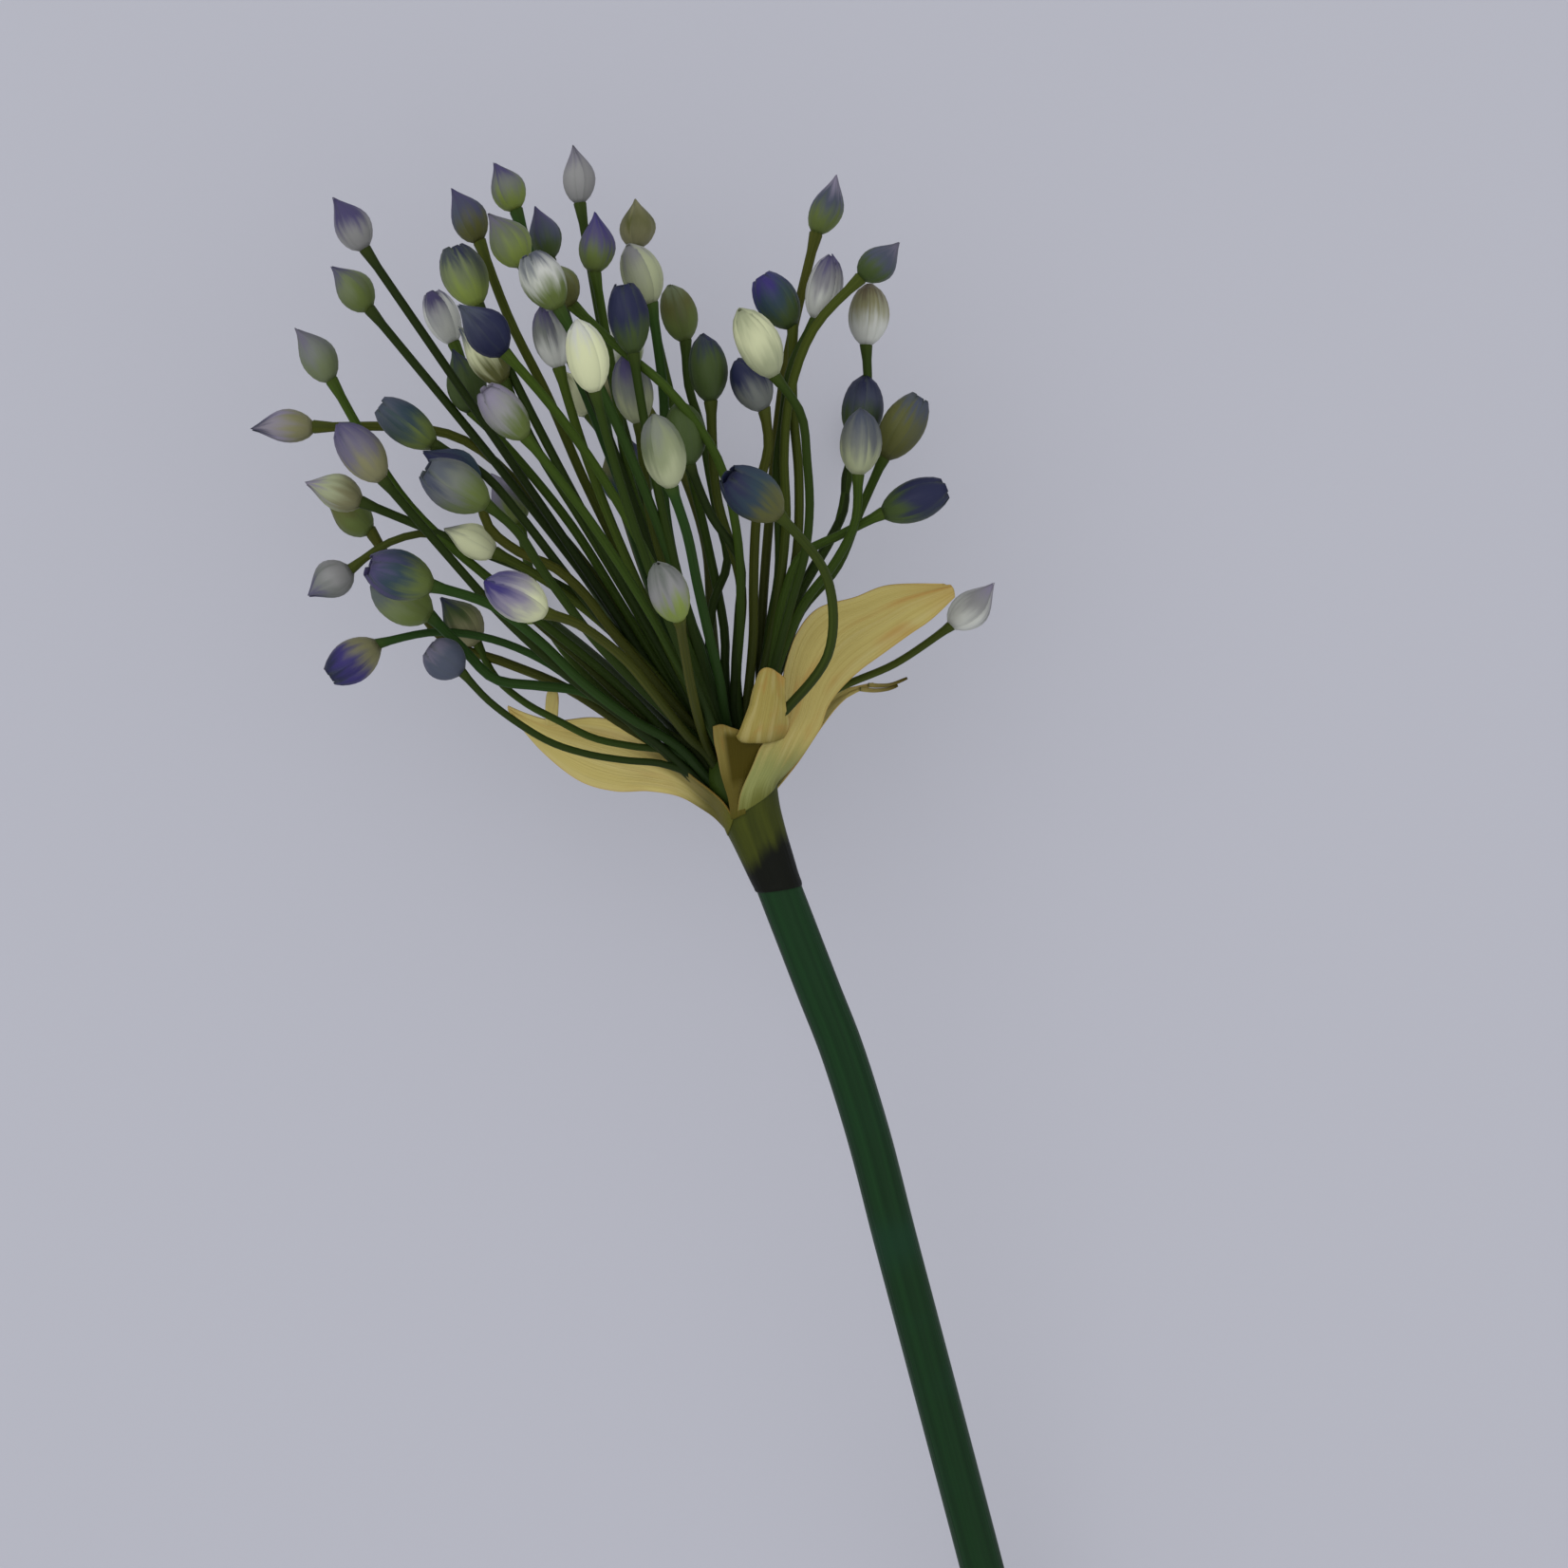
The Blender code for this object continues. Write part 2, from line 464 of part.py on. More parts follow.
def build_bracts():
    foot = NECK_RADII[-1][1] + BRACT_GAP + 0.5 * BRACT_THICK

    def rib(height, degrees, *rest):
        return [around_neck(height, foot, degrees)] + [seen(*place) for place in rest]

    straw = (0.45, 0.36, 0.09)
    build_bract("bract_left", (
        rib(-6.2, 200, (-5.5, -2.8, -3.6), (-13.5, -1.7, -5.6), (-20.5, -0.6, -7.2), (-27.0, 4.1, -8.8),
            (-33.3, 9.1, -10.0)),
        rib(-6.2, 182, (-6.3, -2.0, -4.2), (-12.8, 1.8, -6.6), (-19.5, 4.2, -8.2), (-27.0, 6.6, -9.4),
            (-33.4, 9.6, -10.2)),
        rib(-6.2, 165, (-6.2, -0.6, -2.9), (-11.5, 5.6, -5.0), (-18.2, 9.3, -6.0), (-26.7, 8.7, -7.8),
            (-33.4, 10.1, -10.0)),
    ), 6, 12, straw)
    build_bract("bract_right", (
        rib(-4.4, 10, (6.9, 5.5, 1.6), (7.5, 16.0, 3.6), (12.2, 26.4, 4.6), (21.5, 29.0, 5.2),
            (31.6, 29.0, 6.5)),
        rib(-4.4, -12, (8.8, 4.2, 0.0), (11.2, 13.0, 0.9), (16.4, 20.0, 1.9), (23.4, 24.6, 3.8),
            (31.9, 28.7, 6.3)),
        rib(-4.4, -34, (10.2, 2.8, -1.6), (13.5, 9.4, -0.6), (17.8, 15.6, 1.0), (24.8, 21.2, 3.4),
            (32.1, 28.3, 6.4)),
    ), 7, 12, straw)
    build_bract("bract_front", (
        rib(-6.3, 120, (-1.5, -0.8, 6.2), (-2.7, 4.0, 7.6), (-2.9, 6.9, 8.2)),
        rib(-6.2, 106, (-0.2, -0.5, 7.0), (-1.4, 4.6, 8.7), (-2.0, 8.0, 9.4)),
        rib(-6.0, 91, (1.4, -0.8, 6.6), (0.6, 3.0, 7.6), (0.5, 5.8, 8.2)),
        rib(-5.6, 76, (3.0, 0.5, 7.2), (2.3, 6.2, 8.8), (2.3, 10.4, 9.7)),
        rib(-5.1, 58, (4.9, 2.2, 6.6), (4.6, 10.0, 8.8), (5.0, 16.8, 10.2)),
        rib(-4.6, 38, (7.3, 1.8, 4.8), (7.7, 9.0, 7.2), (7.4, 15.0, 9.4)),
    ), 10, 7, straw)
    build_bract("bract_back", (
        rib(-5.0, -55, (9.0, 2.5, -7.0), (13.5, 8.6, -9.0), (18.8, 13.0, -10.5), (23.5, 14.6, -11.5)),
        rib(-5.0, -80, (6.2, 3.0, -8.4), (10.8, 9.4, -10.6), (16.6, 14.2, -11.6), (23.4, 14.9, -11.7)),
        rib(-5.0, -105, (3.6, 1.8, -8.6), (8.2, 9.0, -10.6), (14.4, 14.8, -11.2), (23.3, 15.3, -11.5)),
    ), 4, 8, straw)


clear_scene()
build_stem()
build_neck()
build_head()
build_bracts()
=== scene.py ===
"""A cut allium flower lying on its side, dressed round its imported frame."""
import math
import random

import bmesh
import bpy
from mathutils import Matrix, Vector


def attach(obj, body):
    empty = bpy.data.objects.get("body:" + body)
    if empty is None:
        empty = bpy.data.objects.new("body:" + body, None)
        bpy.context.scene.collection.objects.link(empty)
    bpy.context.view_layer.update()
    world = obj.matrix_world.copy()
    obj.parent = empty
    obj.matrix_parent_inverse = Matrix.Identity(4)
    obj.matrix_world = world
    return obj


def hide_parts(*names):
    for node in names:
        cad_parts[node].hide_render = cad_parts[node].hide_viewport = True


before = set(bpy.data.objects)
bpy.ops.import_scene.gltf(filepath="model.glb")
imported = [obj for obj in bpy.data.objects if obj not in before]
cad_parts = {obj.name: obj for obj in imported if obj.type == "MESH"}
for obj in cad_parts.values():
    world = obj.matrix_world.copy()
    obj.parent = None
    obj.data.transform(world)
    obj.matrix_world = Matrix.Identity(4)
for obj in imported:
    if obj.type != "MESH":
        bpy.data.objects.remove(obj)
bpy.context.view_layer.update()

# The view, from straight above and far off. The table is pale and matt and glows a little of
# itself, a painted glow that keeps shadows on it pale. Places on the flower are in millimetres
# from its crown, the point that all the stalks leave: +X right, +Y towards the head, +Z up.
MM = 0.001
CROWN = Vector((6.48, 49.18, 43.5))
VIEW_HEIGHT = 1200.0
VIEW_WIDTH = 231.3
FILM_WIDTH = 36.0
VIEW_MIDDLE = Vector((7.3, -0.6, 0.0))
TABLE_GREY = (0.261, 0.265, 0.300)
TABLE_PAINTED_GLOW = (0.228, 0.231, 0.263)
TABLE_HALF_SIZE = 3.0
ROOM_COLOUR = (0.98, 0.985, 1.0)
ROOM_BRIGHTNESS = 0.70


def linear(red, green, blue):
    """A colour as a screen shows it, from 0 to 255, in the renderer's own linear values."""
    shares = (value / 255.0 for value in (red, green, blue))
    return tuple(share / 12.92 if share <= 0.04045 else ((share + 0.055) / 1.055) ** 2.4
                 for share in shares)


def new_material(name, roughness, specular):
    """A finish with its plain settings, and the node tree and surface that carry the rest."""
    material = bpy.data.materials.new(name)
    material.use_nodes = True
    surface = material.node_tree.nodes["Principled BSDF"]
    surface.inputs["Roughness"].default_value = roughness
    surface.inputs["Specular IOR Level"].default_value = specular
    return material, material.node_tree, surface


def soft_light(name, place, size, power, warmth):
    """A round soft lamp that points at the table's middle."""
    lamp = bpy.data.lights.new(name, "AREA")
    lamp.shape = "DISK"
    lamp.size = size
    lamp.energy = power
    lamp.color = warmth
    holder = bpy.data.objects.new(name, lamp)
    holder.location = place
    holder.rotation_euler = (-Vector(place)).to_track_quat("-Z", "Y").to_euler()
    bpy.context.scene.collection.objects.link(holder)


camera_data = bpy.data.cameras.new("camera")
camera_data.sensor_width = FILM_WIDTH
camera_data.lens = FILM_WIDTH * VIEW_HEIGHT / VIEW_WIDTH
camera_data.clip_end = 20.0
camera = bpy.data.objects.new("camera", camera_data)
camera.location = (CROWN + VIEW_MIDDLE + Vector((0.0, 0.0, VIEW_HEIGHT))) * MM
bpy.context.scene.collection.objects.link(camera)
bpy.context.scene.camera = camera
bpy.context.scene.view_settings.view_transform = "Standard"

soft_light("window", (-0.8, 0.6, 2.0), 2.0, 11.0, (1.0, 1.0, 1.0))
soft_light("far wall", (1.1, -0.4, 2.0), 2.4, 4.0, (0.98, 0.99, 1.0))
world = bpy.data.worlds.new("room light")
world.use_nodes = True
room = world.node_tree.nodes["Background"]
room.inputs["Color"].default_value = (*ROOM_COLOUR, 1.0)
room.inputs["Strength"].default_value = ROOM_BRIGHTNESS
bpy.context.scene.world = world

table_top = bmesh.new()
bmesh.ops.create_grid(table_top, x_segments=1, y_segments=1, size=TABLE_HALF_SIZE)
table_mesh = bpy.data.meshes.new("table top")
table_top.to_mesh(table_mesh)
table_top.free()
table = bpy.data.objects.new("table_top", table_mesh)
bpy.context.scene.collection.objects.link(table)
table_paint, _, surface = new_material("pale table paint", 0.8, 0.1)
surface.inputs["Base Color"].default_value = (*TABLE_GREY, 1.0)
# Painted light: the table glows a little of itself, which keeps shadows on it pale.
surface.inputs["Emission Color"].default_value = (*TABLE_PAINTED_GLOW, 1.0)
surface.inputs["Emission Strength"].default_value = 1.0
table_mesh.materials.append(table_paint)


# The stem. One solid fleshy stalk, dark green under a thin waxy bloom, with fine fibres
# along it. It bends near the neck, sinks to the table and ends in a slanting knife cut
# that shows a paler, wetter pith inside a thin green rind.
STEM_RADIUS = 3.26
STEM_SIDES = 40
STEM_RINGS = 96
STEM_TOP = -15.7
NECK_AXIS = Vector((-0.356, 0.930, 0.09)).normalized()
NECK_SIDE = NECK_AXIS.cross(Vector((0, 0, 1))).normalized()
NECK_FRONT = NECK_SIDE.cross(NECK_AXIS)
NECK_CENTRE = Vector((0.4, 0.15, 0.0))
STEM_LINE = (
    (12.2, -30.5, -3.9), (16.0, -40.3, -6.0), (19.9, -52.9, -8.9), (23.5, -66.9, -12.2),
    (27.2, -80.9, -15.7), (30.9, -94.9, -19.3), (36.5, -116.2, -24.9), (45.2, -150.0, -32.9),
    (53.9, -184.0, -40.61),
)
CUT_SLANT = math.radians(22.0)
RIND = 0.45
PITH_STEPS = ((0.5, -0.12), (1.2, -0.1))
PITH_CELLS = 2600.0
STEM_DARK = linear(14, 42, 19)
STEM_MID = linear(22, 56, 26)
STEM_BLUE = linear(20, 54, 34)
PITH = linear(150, 160, 105)
PITH_WET = linear(118, 132, 76)


def seen(x, y, z):
    """A place seen in the crown's plane, moved to its height along the line of sight."""
    shrink = 1.0 - z / VIEW_HEIGHT
    return Vector((VIEW_MIDDLE.x + (x - VIEW_MIDDLE.x) * shrink,
                   VIEW_MIDDLE.y + (y - VIEW_MIDDLE.y) * shrink, z))


def seen_line(*places):
    """Such places, one after the other along a line."""
    return [seen(*place) for place in places]


def spline(points, share):
    """Point on a smooth curve through the given points, at a share from 0 to 1."""
    spans = len(points) - 1
    span = min(int(share * spans), spans - 1)
    t = share * spans - span
    before = points[max(span - 1, 0)]
    start = points[span]
    end = points[span + 1]
    after = points[min(span + 2, spans)]
    return 0.5 * (2.0 * start + (end - before) * t
                  + (2.0 * before - 5.0 * start + 4.0 * end - after) * t * t
                  + (3.0 * (start - end) + after - before) * t * t * t)


def upright(along):
    """The direction that is square to a line and points up."""
    return (Vector((0, 0, 1)) - along * along.z).normalized()


def ring_place(centre, along, up, radius, stretch=1.0):
    """Matrix that lays a unit circle square to a direction, with its first point upwards."""
    side = up.cross(along)
    turn = Matrix((side, up * stretch, along)).transposed().to_4x4()
    return Matrix.Translation((CROWN + centre) * MM) @ turn @ Matrix.Scale(radius * MM, 4)


def new_plant_mesh():
    """Empty mesh whose points know their place round and along their piece, and its tone."""
    bm = bmesh.new()
    bm.verts.layers.float_vector.new("fibre")
    bm.verts.layers.float.new("share")
    bm.verts.layers.float.new("tone")
    return bm


def draw_out(bm, sides, places, tone=0.5):
    """Closed skin drawn out from one circle to the next. Gives back its first and last face."""
    fibre = bm.verts.layers.float_vector["fibre"]
    share = bm.verts.layers.float["share"]
    tint = bm.verts.layers.float["tone"]
    ring = bmesh.ops.create_circle(bm, cap_ends=False, radius=1.0, segments=sides,
                                   matrix=places[0])["verts"]
    edges = list(dict.fromkeys(edge for vert in ring for edge in vert.link_edges))
    first = edges
    travelled = 0.0
    for step, place in enumerate(places):
        if step:
            grown = bmesh.ops.extrude_edge_only(bm, edges=edges)["geom"]
            ring = [item for item in grown if isinstance(item, bmesh.types.BMVert)]
            fresh = set(ring)
            edges = [item for item in grown
                     if isinstance(item, bmesh.types.BMEdge) and fresh.issuperset(item.verts)]
            bmesh.ops.transform(bm, matrix=place @ places[step - 1].inverted(), verts=ring)
            travelled += (place.translation - places[step - 1].translation).length / MM
        back = place.inverted()
        for vert in ring:
            flat = back @ vert.co
            vert[fibre] = (flat.x, flat.y, travelled)
            vert[share] = step / (len(places) - 1)
            vert[tint] = tone
    return [bmesh.ops.edgeloop_fill(bm, edges=loop)["faces"][0] for loop in (first, edges)]


def finished(name, bm, material, crease=60.0):
    """A piece at the origin, smooth except at edges that turn by more than the crease."""
    bmesh.ops.recalc_face_normals(bm, faces=bm.faces)
    mesh = bpy.data.meshes.new(name)
    bm.to_mesh(mesh)
    bm.free()
    mesh.shade_smooth()
    mesh.set_sharp_from_angle(angle=math.radians(crease))
    mesh.materials.append(material)
    piece = bpy.data.objects.new(name, mesh)
    bpy.context.scene.collection.objects.link(piece)
    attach(piece, "root")
    return piece


def build_fibre_group():
    """Streaks that run along a piece, and soft blotches, both from 0 to 1."""
    group = bpy.data.node_groups.new("plant fibres", "ShaderNodeTree")
    group.interface.new_socket("Place", in_out="INPUT", socket_type="NodeSocketVector")
    for inlet in ("Streaks round", "Streaks along", "Blotches"):
        group.interface.new_socket(inlet, in_out="INPUT", socket_type="NodeSocketFloat")
    for outlet in ("Streak", "Blotch"):
        group.interface.new_socket(outlet, in_out="OUTPUT", socket_type="NodeSocketFloat")
    inside = group.nodes
    entry = inside.new("NodeGroupInput")
    result = inside.new("NodeGroupOutput")
    split = inside.new("ShaderNodeSeparateXYZ")
    group.links.new(entry.outputs["Place"], split.inputs[0])
    stretched = inside.new("ShaderNodeCombineXYZ")
    for axis, rate in (("X", "Streaks round"), ("Y", "Streaks round"), ("Z", "Streaks along")):
        times = inside.new("ShaderNodeMath")
        times.operation = "MULTIPLY"
        group.links.new(split.outputs[axis], times.inputs[0])
        group.links.new(entry.outputs[rate], times.inputs[1])
        group.links.new(times.outputs[0], stretched.inputs[axis])
    streak = inside.new("ShaderNodeTexNoise")
    streak.inputs["Scale"].default_value = 1.0
    streak.inputs["Detail"].default_value = 3.0
    group.links.new(stretched.outputs[0], streak.inputs["Vector"])
    blotch = inside.new("ShaderNodeTexNoise")
    blotch.inputs["Detail"].default_value = 2.0
    group.links.new(entry.outputs["Place"], blotch.inputs["Vector"])
    group.links.new(entry.outputs["Blotches"], blotch.inputs["Scale"])
    for texture, outlet in ((streak, "Streak"), (blotch, "Blotch")):
        spread = inside.new("ShaderNodeMapRange")
        spread.inputs["From Min"].default_value = 0.3
        spread.inputs["From Max"].default_value = 0.7
        group.links.new(texture.outputs["Fac"], spread.inputs["Value"])
        group.links.new(spread.outputs["Result"], result.inputs[outlet])
    return group


fibre_group = build_fibre_group()


def read_place(tree):
    """A point's place on its piece: X and Y round or across it, Z along it."""
    place = tree.nodes.new("ShaderNodeAttribute")
    place.attribute_name = "fibre"
    return place.outputs["Vector"]


def split_place(tree):
    split = tree.nodes.new("ShaderNodeSeparateXYZ")
    tree.links.new(read_place(tree), split.inputs[0])
    return split.outputs


def add_fibres(tree, round_rate, along_rate, blotches):
    """The streaks and blotches, at rates of their own."""
    fibres = tree.nodes.new("ShaderNodeGroup")
    fibres.node_tree = fibre_group
    fibres.inputs["Streaks round"].default_value = round_rate
    fibres.inputs["Streaks along"].default_value = along_rate
    fibres.inputs["Blotches"].default_value = blotches
    tree.links.new(read_place(tree), fibres.inputs["Place"])
    return fibres


def read_number(tree, name):
    attribute = tree.nodes.new("ShaderNodeAttribute")
    attribute.attribute_name = name
    return attribute.outputs["Fac"]


def ramp(tree, value, low, high, to_low=0.0, to_high=1.0):
    """Soft step of a value from low to high."""
    step = tree.nodes.new("ShaderNodeMapRange")
    step.interpolation_type = "SMOOTHSTEP"
    step.inputs["From Min"].default_value = low
    step.inputs["From Max"].default_value = high
    step.inputs["To Min"].default_value = to_low
    step.inputs["To Max"].default_value = to_high
    tree.links.new(value, step.inputs["Value"])
    return step.outputs["Result"]


def blend_colours(tree, share, first, second):
    """Mix of two colours, each a socket or a plain colour, by a share that varies."""
    mixer = tree.nodes.new("ShaderNodeMix")
    mixer.data_type = "RGBA"
    tree.links.new(share, mixer.inputs["Factor"])
    for colour, socket in ((first, mixer.inputs["A"]), (second, mixer.inputs["B"])):
        if isinstance(colour, tuple):
            socket.default_value = (*colour, 1.0)
        else:
            tree.links.new(colour, socket)
    return mixer.outputs["Result"]


def calculate(tree, operation, first, second):
    """Sum or product of two values, each a socket or a number."""
    result = tree.nodes.new("ShaderNodeMath")
    result.operation = operation
    for value, socket in ((first, result.inputs[0]), (second, result.inputs[1])):
        if isinstance(value, float):
            socket.default_value = value
        else:
            tree.links.new(value, socket)
    return result.outputs[0]


def bump_from(tree, height, surface, strength, distance):
    bump = tree.nodes.new("ShaderNodeBump")
    bump.inputs["Strength"].default_value = strength
    bump.inputs["Distance"].default_value = distance * MM
    tree.links.new(height, bump.inputs["Height"])
    tree.links.new(bump.outputs["Normal"], surface.inputs["Normal"])


def stem_green():
    material, tree, surface = new_material("waxy stem green", 0.42, 0.12)
    fibres = add_fibres(tree, 2.6, 0.012, 0.06)
    green = blend_colours(tree, fibres.outputs["Streak"], STEM_DARK, STEM_MID)
    bluish = ramp(tree, fibres.outputs["Blotch"], 0.45, 0.95, 0.0, 0.75)
    bloom = blend_colours(tree, bluish, green, STEM_BLUE)
    tree.links.new(bloom, surface.inputs["Base Color"])
    fine = add_fibres(tree, 9.0, 0.03, 0.8)
    gloss = ramp(tree, fine.outputs["Streak"], 0.0, 1.0, 0.36, 0.52)
    tree.links.new(gloss, surface.inputs["Roughness"])
    bump_from(tree, fine.outputs["Streak"], surface, 0.35, 0.12)
    return material


def cut_pith():
    material, tree, surface = new_material("cut stem pith", 0.35, 0.4)
    place = tree.nodes.new("ShaderNodeTexCoord")
    cells = tree.nodes.new("ShaderNodeTexVoronoi")
    cells.inputs["Scale"].default_value = PITH_CELLS
    tree.links.new(place.outputs["Object"], cells.inputs["Vector"])
    spongy = ramp(tree, cells.outputs["Distance"], 0.1, 0.6)
    tree.links.new(blend_colours(tree, spongy, PITH_WET, PITH), surface.inputs["Base Color"])
    bump_from(tree, cells.outputs["Distance"], surface, 0.4, 0.1)
    return material


line = [NECK_CENTRE + NECK_AXIS * STEM_TOP] + seen_line(*STEM_LINE)
centres = [spline(line, step / STEM_RINGS) for step in range(STEM_RINGS + 1)]
places = []
for step, centre in enumerate(centres):
    ahead = centres[min(step + 1, STEM_RINGS)] - centres[max(step - 1, 0)]
    along = -NECK_AXIS if step == 0 else ahead.normalized()
    up = upright(along)
    stretch = 1.0
    if step == STEM_RINGS:
        slant = Matrix.Rotation(CUT_SLANT, 3, up.cross(along))
        along = slant @ along
        up = slant @ up
        stretch = 1.0 / math.cos(CUT_SLANT)
    places.append(ring_place(centre, along, up, STEM_RADIUS, stretch))
bm = new_plant_mesh()
caps = draw_out(bm, STEM_SIDES, places)
bmesh.ops.inset_region(bm, faces=[caps[1]], thickness=RIND * MM, depth=0.0)
caps[1].material_index = 1
for width, depth in PITH_STEPS:
    bmesh.ops.inset_region(bm, faces=[caps[1]], thickness=width * MM, depth=depth * MM)
stem = finished("flower_stem", bm, stem_green(), crease=35.0)
stem.data.materials.append(cut_pith())
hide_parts("stem")


# The neck. The stem's top swells into a firm olive cup that carries the head, higher on its
# right than on its left. Its foot is stained almost black where the sheath was shed, and
# overlaps the stem with a low slanting collar.
NECK_PROFILE = (
    (-17.4, 3.42), (-17.0, 3.52), (-16.0, 3.51), (-13.4, 3.74), (-10.6, 3.98),
    (-8.4, 4.18), (-6.8, 4.34), (-5.0, 4.56), (-3.7, 4.85),
)
NECK_SIDES = 48
NECK_RINGS = 44
RIM_TILT = math.radians(12.0)
RIM_ASIDE = 0.45
RIM_FROM = -7.0
RIM_DEPTH = 3.3
FOOT_TILT = math.radians(12.0)
FOOT_FROM = -15.4
FOOT_DEPTH = 2.0
NECK_RIDGES = 6.0
RIDGE_HEIGHT = 0.08
RIDGE_TWIST = 0.25
RIDGES_FROM = -15.0
RIDGES_FULL_AFTER = 8.0
NECK_OLIVE = linear(68, 74, 21)
NECK_GREEN = linear(48, 54, 15)
NECK_BLACK = linear(14, 16, 10)
STAIN_HEIGHT = 6.1
STAIN_LEAN = 1.8
STAIN_FADE = (1.7, 1.6)
STAIN_FRAY = 0.7


def neck_skin():
    material, tree, surface = new_material("olive neck skin", 0.5, 0.1)
    fibres = add_fibres(tree, 2.2, 0.05, 0.5)
    olive = blend_colours(tree, fibres.outputs["Streak"], NECK_GREEN, NECK_OLIVE)
    place = split_place(tree)
    height = calculate(tree, "ADD", place["Z"],
                       calculate(tree, "MULTIPLY", place["X"], STAIN_LEAN))
    fray = ramp(tree, fibres.outputs["Streak"], 0.0, 1.0, -STAIN_FRAY, STAIN_FRAY)
    height = calculate(tree, "ADD", height, fray)
    stain = ramp(tree, height, STAIN_HEIGHT - STAIN_FADE[0], STAIN_HEIGHT + STAIN_FADE[1], 1.0, 0.0)
    skin = blend_colours(tree, stain, olive, NECK_BLACK)
    tree.links.new(skin, surface.inputs["Base Color"])
    fine = add_fibres(tree, 8.0, 0.08, 1.5)
    bump_from(tree, fine.outputs["Streak"], surface, 0.35, 0.15)
    return material


profile = [Vector(pair) for pair in NECK_PROFILE]
places = []
for step in range(NECK_RINGS + 1):
    height, radius = spline(profile, step / NECK_RINGS)
    near_rim = max(0.0, (height - RIM_FROM) / RIM_DEPTH) ** 2
    near_foot = max(0.0, (FOOT_FROM - height) / FOOT_DEPTH)
    lean = Matrix.Rotation(RIM_TILT * near_rim - FOOT_TILT * near_foot, 3, NECK_FRONT)
    centre = NECK_CENTRE + NECK_AXIS * height + NECK_SIDE * (RIM_ASIDE * near_rim)
    places.append(ring_place(centre, lean @ NECK_AXIS, NECK_FRONT, radius))
bm = new_plant_mesh()
draw_out(bm, NECK_SIDES, places)
for vert in bm.verts:
    spot = vert.co / MM - CROWN - NECK_CENTRE
    height = spot.dot(NECK_AXIS)
    across = spot - NECK_AXIS * height
    angle = math.atan2(across.dot(NECK_FRONT), across.dot(NECK_SIDE))
    full = max(0.0, min(1.0, (height - RIDGES_FROM) / RIDGES_FULL_AFTER))
    ridge = RIDGE_HEIGHT * full * math.cos(NECK_RIDGES * angle + RIDGE_TWIST * height)
    vert.co += across.normalized() * ridge * MM
neck = finished("flower_neck", bm, neck_skin(), crease=50.0)
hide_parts("neck")


# The bracts. Dry papery blades, what is left of the sheath that wrapped the head: straw
# yellow, finely veined from foot to tip, browned in patches and along the rim, and still
# greenish where each clasps the neck. They are thin, waved and curled at their edges.
CLASP = 4.7
CLASP_ASIDE = 0.65
CLASP_TAPER = 0.2
CLASP_TAPER_FROM = -5.0
PAPER_THICK = 0.26
SMOOTH = 180.0
SWAY_RATE = 11.0
PLEAT = 0.35
PLEAT_RATE = 15.0
RIPPLE = 0.2
RIPPLE_RATE = 23.0
HAIR_RADIUS = 0.24
HAIR_TAPER = 0.14
HAIR_RINGS = 10
HAIR_SIDES = 8
HAIRS = (
    ((19.8, 14.0, -11.0), (21.4, 13.9, -10.8), (23.2, 14.1, -10.4), (25.4, 15.0, -10.0)),
    ((18.6, 13.4, -10.9), (20.6, 13.2, -10.6), (22.6, 13.4, -10.4), (24.0, 13.9, -10.2)),
)
STRAW = (linear(166, 150, 84), linear(186, 172, 106))
# A lighter copy of the straw for the left blade: painted light that makes up for the head's shade
# on it.
STRAW_PAINTED_LIT = (linear(190, 174, 102), linear(210, 194, 122))
STRAW_OLD = (linear(146, 130, 66), linear(166, 152, 84))
STRAW_PALE = linear(200, 190, 138)
BROWN = linear(168, 120, 58)
BRACT_GREEN = linear(132, 138, 82)
# Foot colour of the left blade: the olive it has where it clasps the neck, darkened as painted
# shade of the stalks over it.
BRACT_OLIVE_AND_SHADE = linear(76, 74, 20)
FLAP_OLIVE = linear(104, 94, 40)
CLASP_OLIVE = linear(86, 88, 24)
# Painted shade: dark olive brown laid on the bracts where stalks and folds shade them.
PAINTED_FOLD_SHADE = linear(68, 59, 6)


def around_neck(height, radius, degrees):
    """A point beside the neck: 0 is its right side, 90 its front, 180 its left side."""
    angle = math.radians(degrees)
    across = NECK_SIDE * math.cos(angle) + NECK_FRONT * math.sin(angle)
    return NECK_CENTRE + NECK_AXIS * height + across * radius


def rib(height, degrees, *rest):
    """Places along one rib of a blade, from its foot on the neck to its rim."""
    radius = (CLASP + CLASP_ASIDE * max(0.0, math.cos(math.radians(degrees)))
              - CLASP_TAPER * max(0.0, CLASP_TAPER_FROM - height))
    return [around_neck(height, radius, degrees)] + seen_line(*rest)


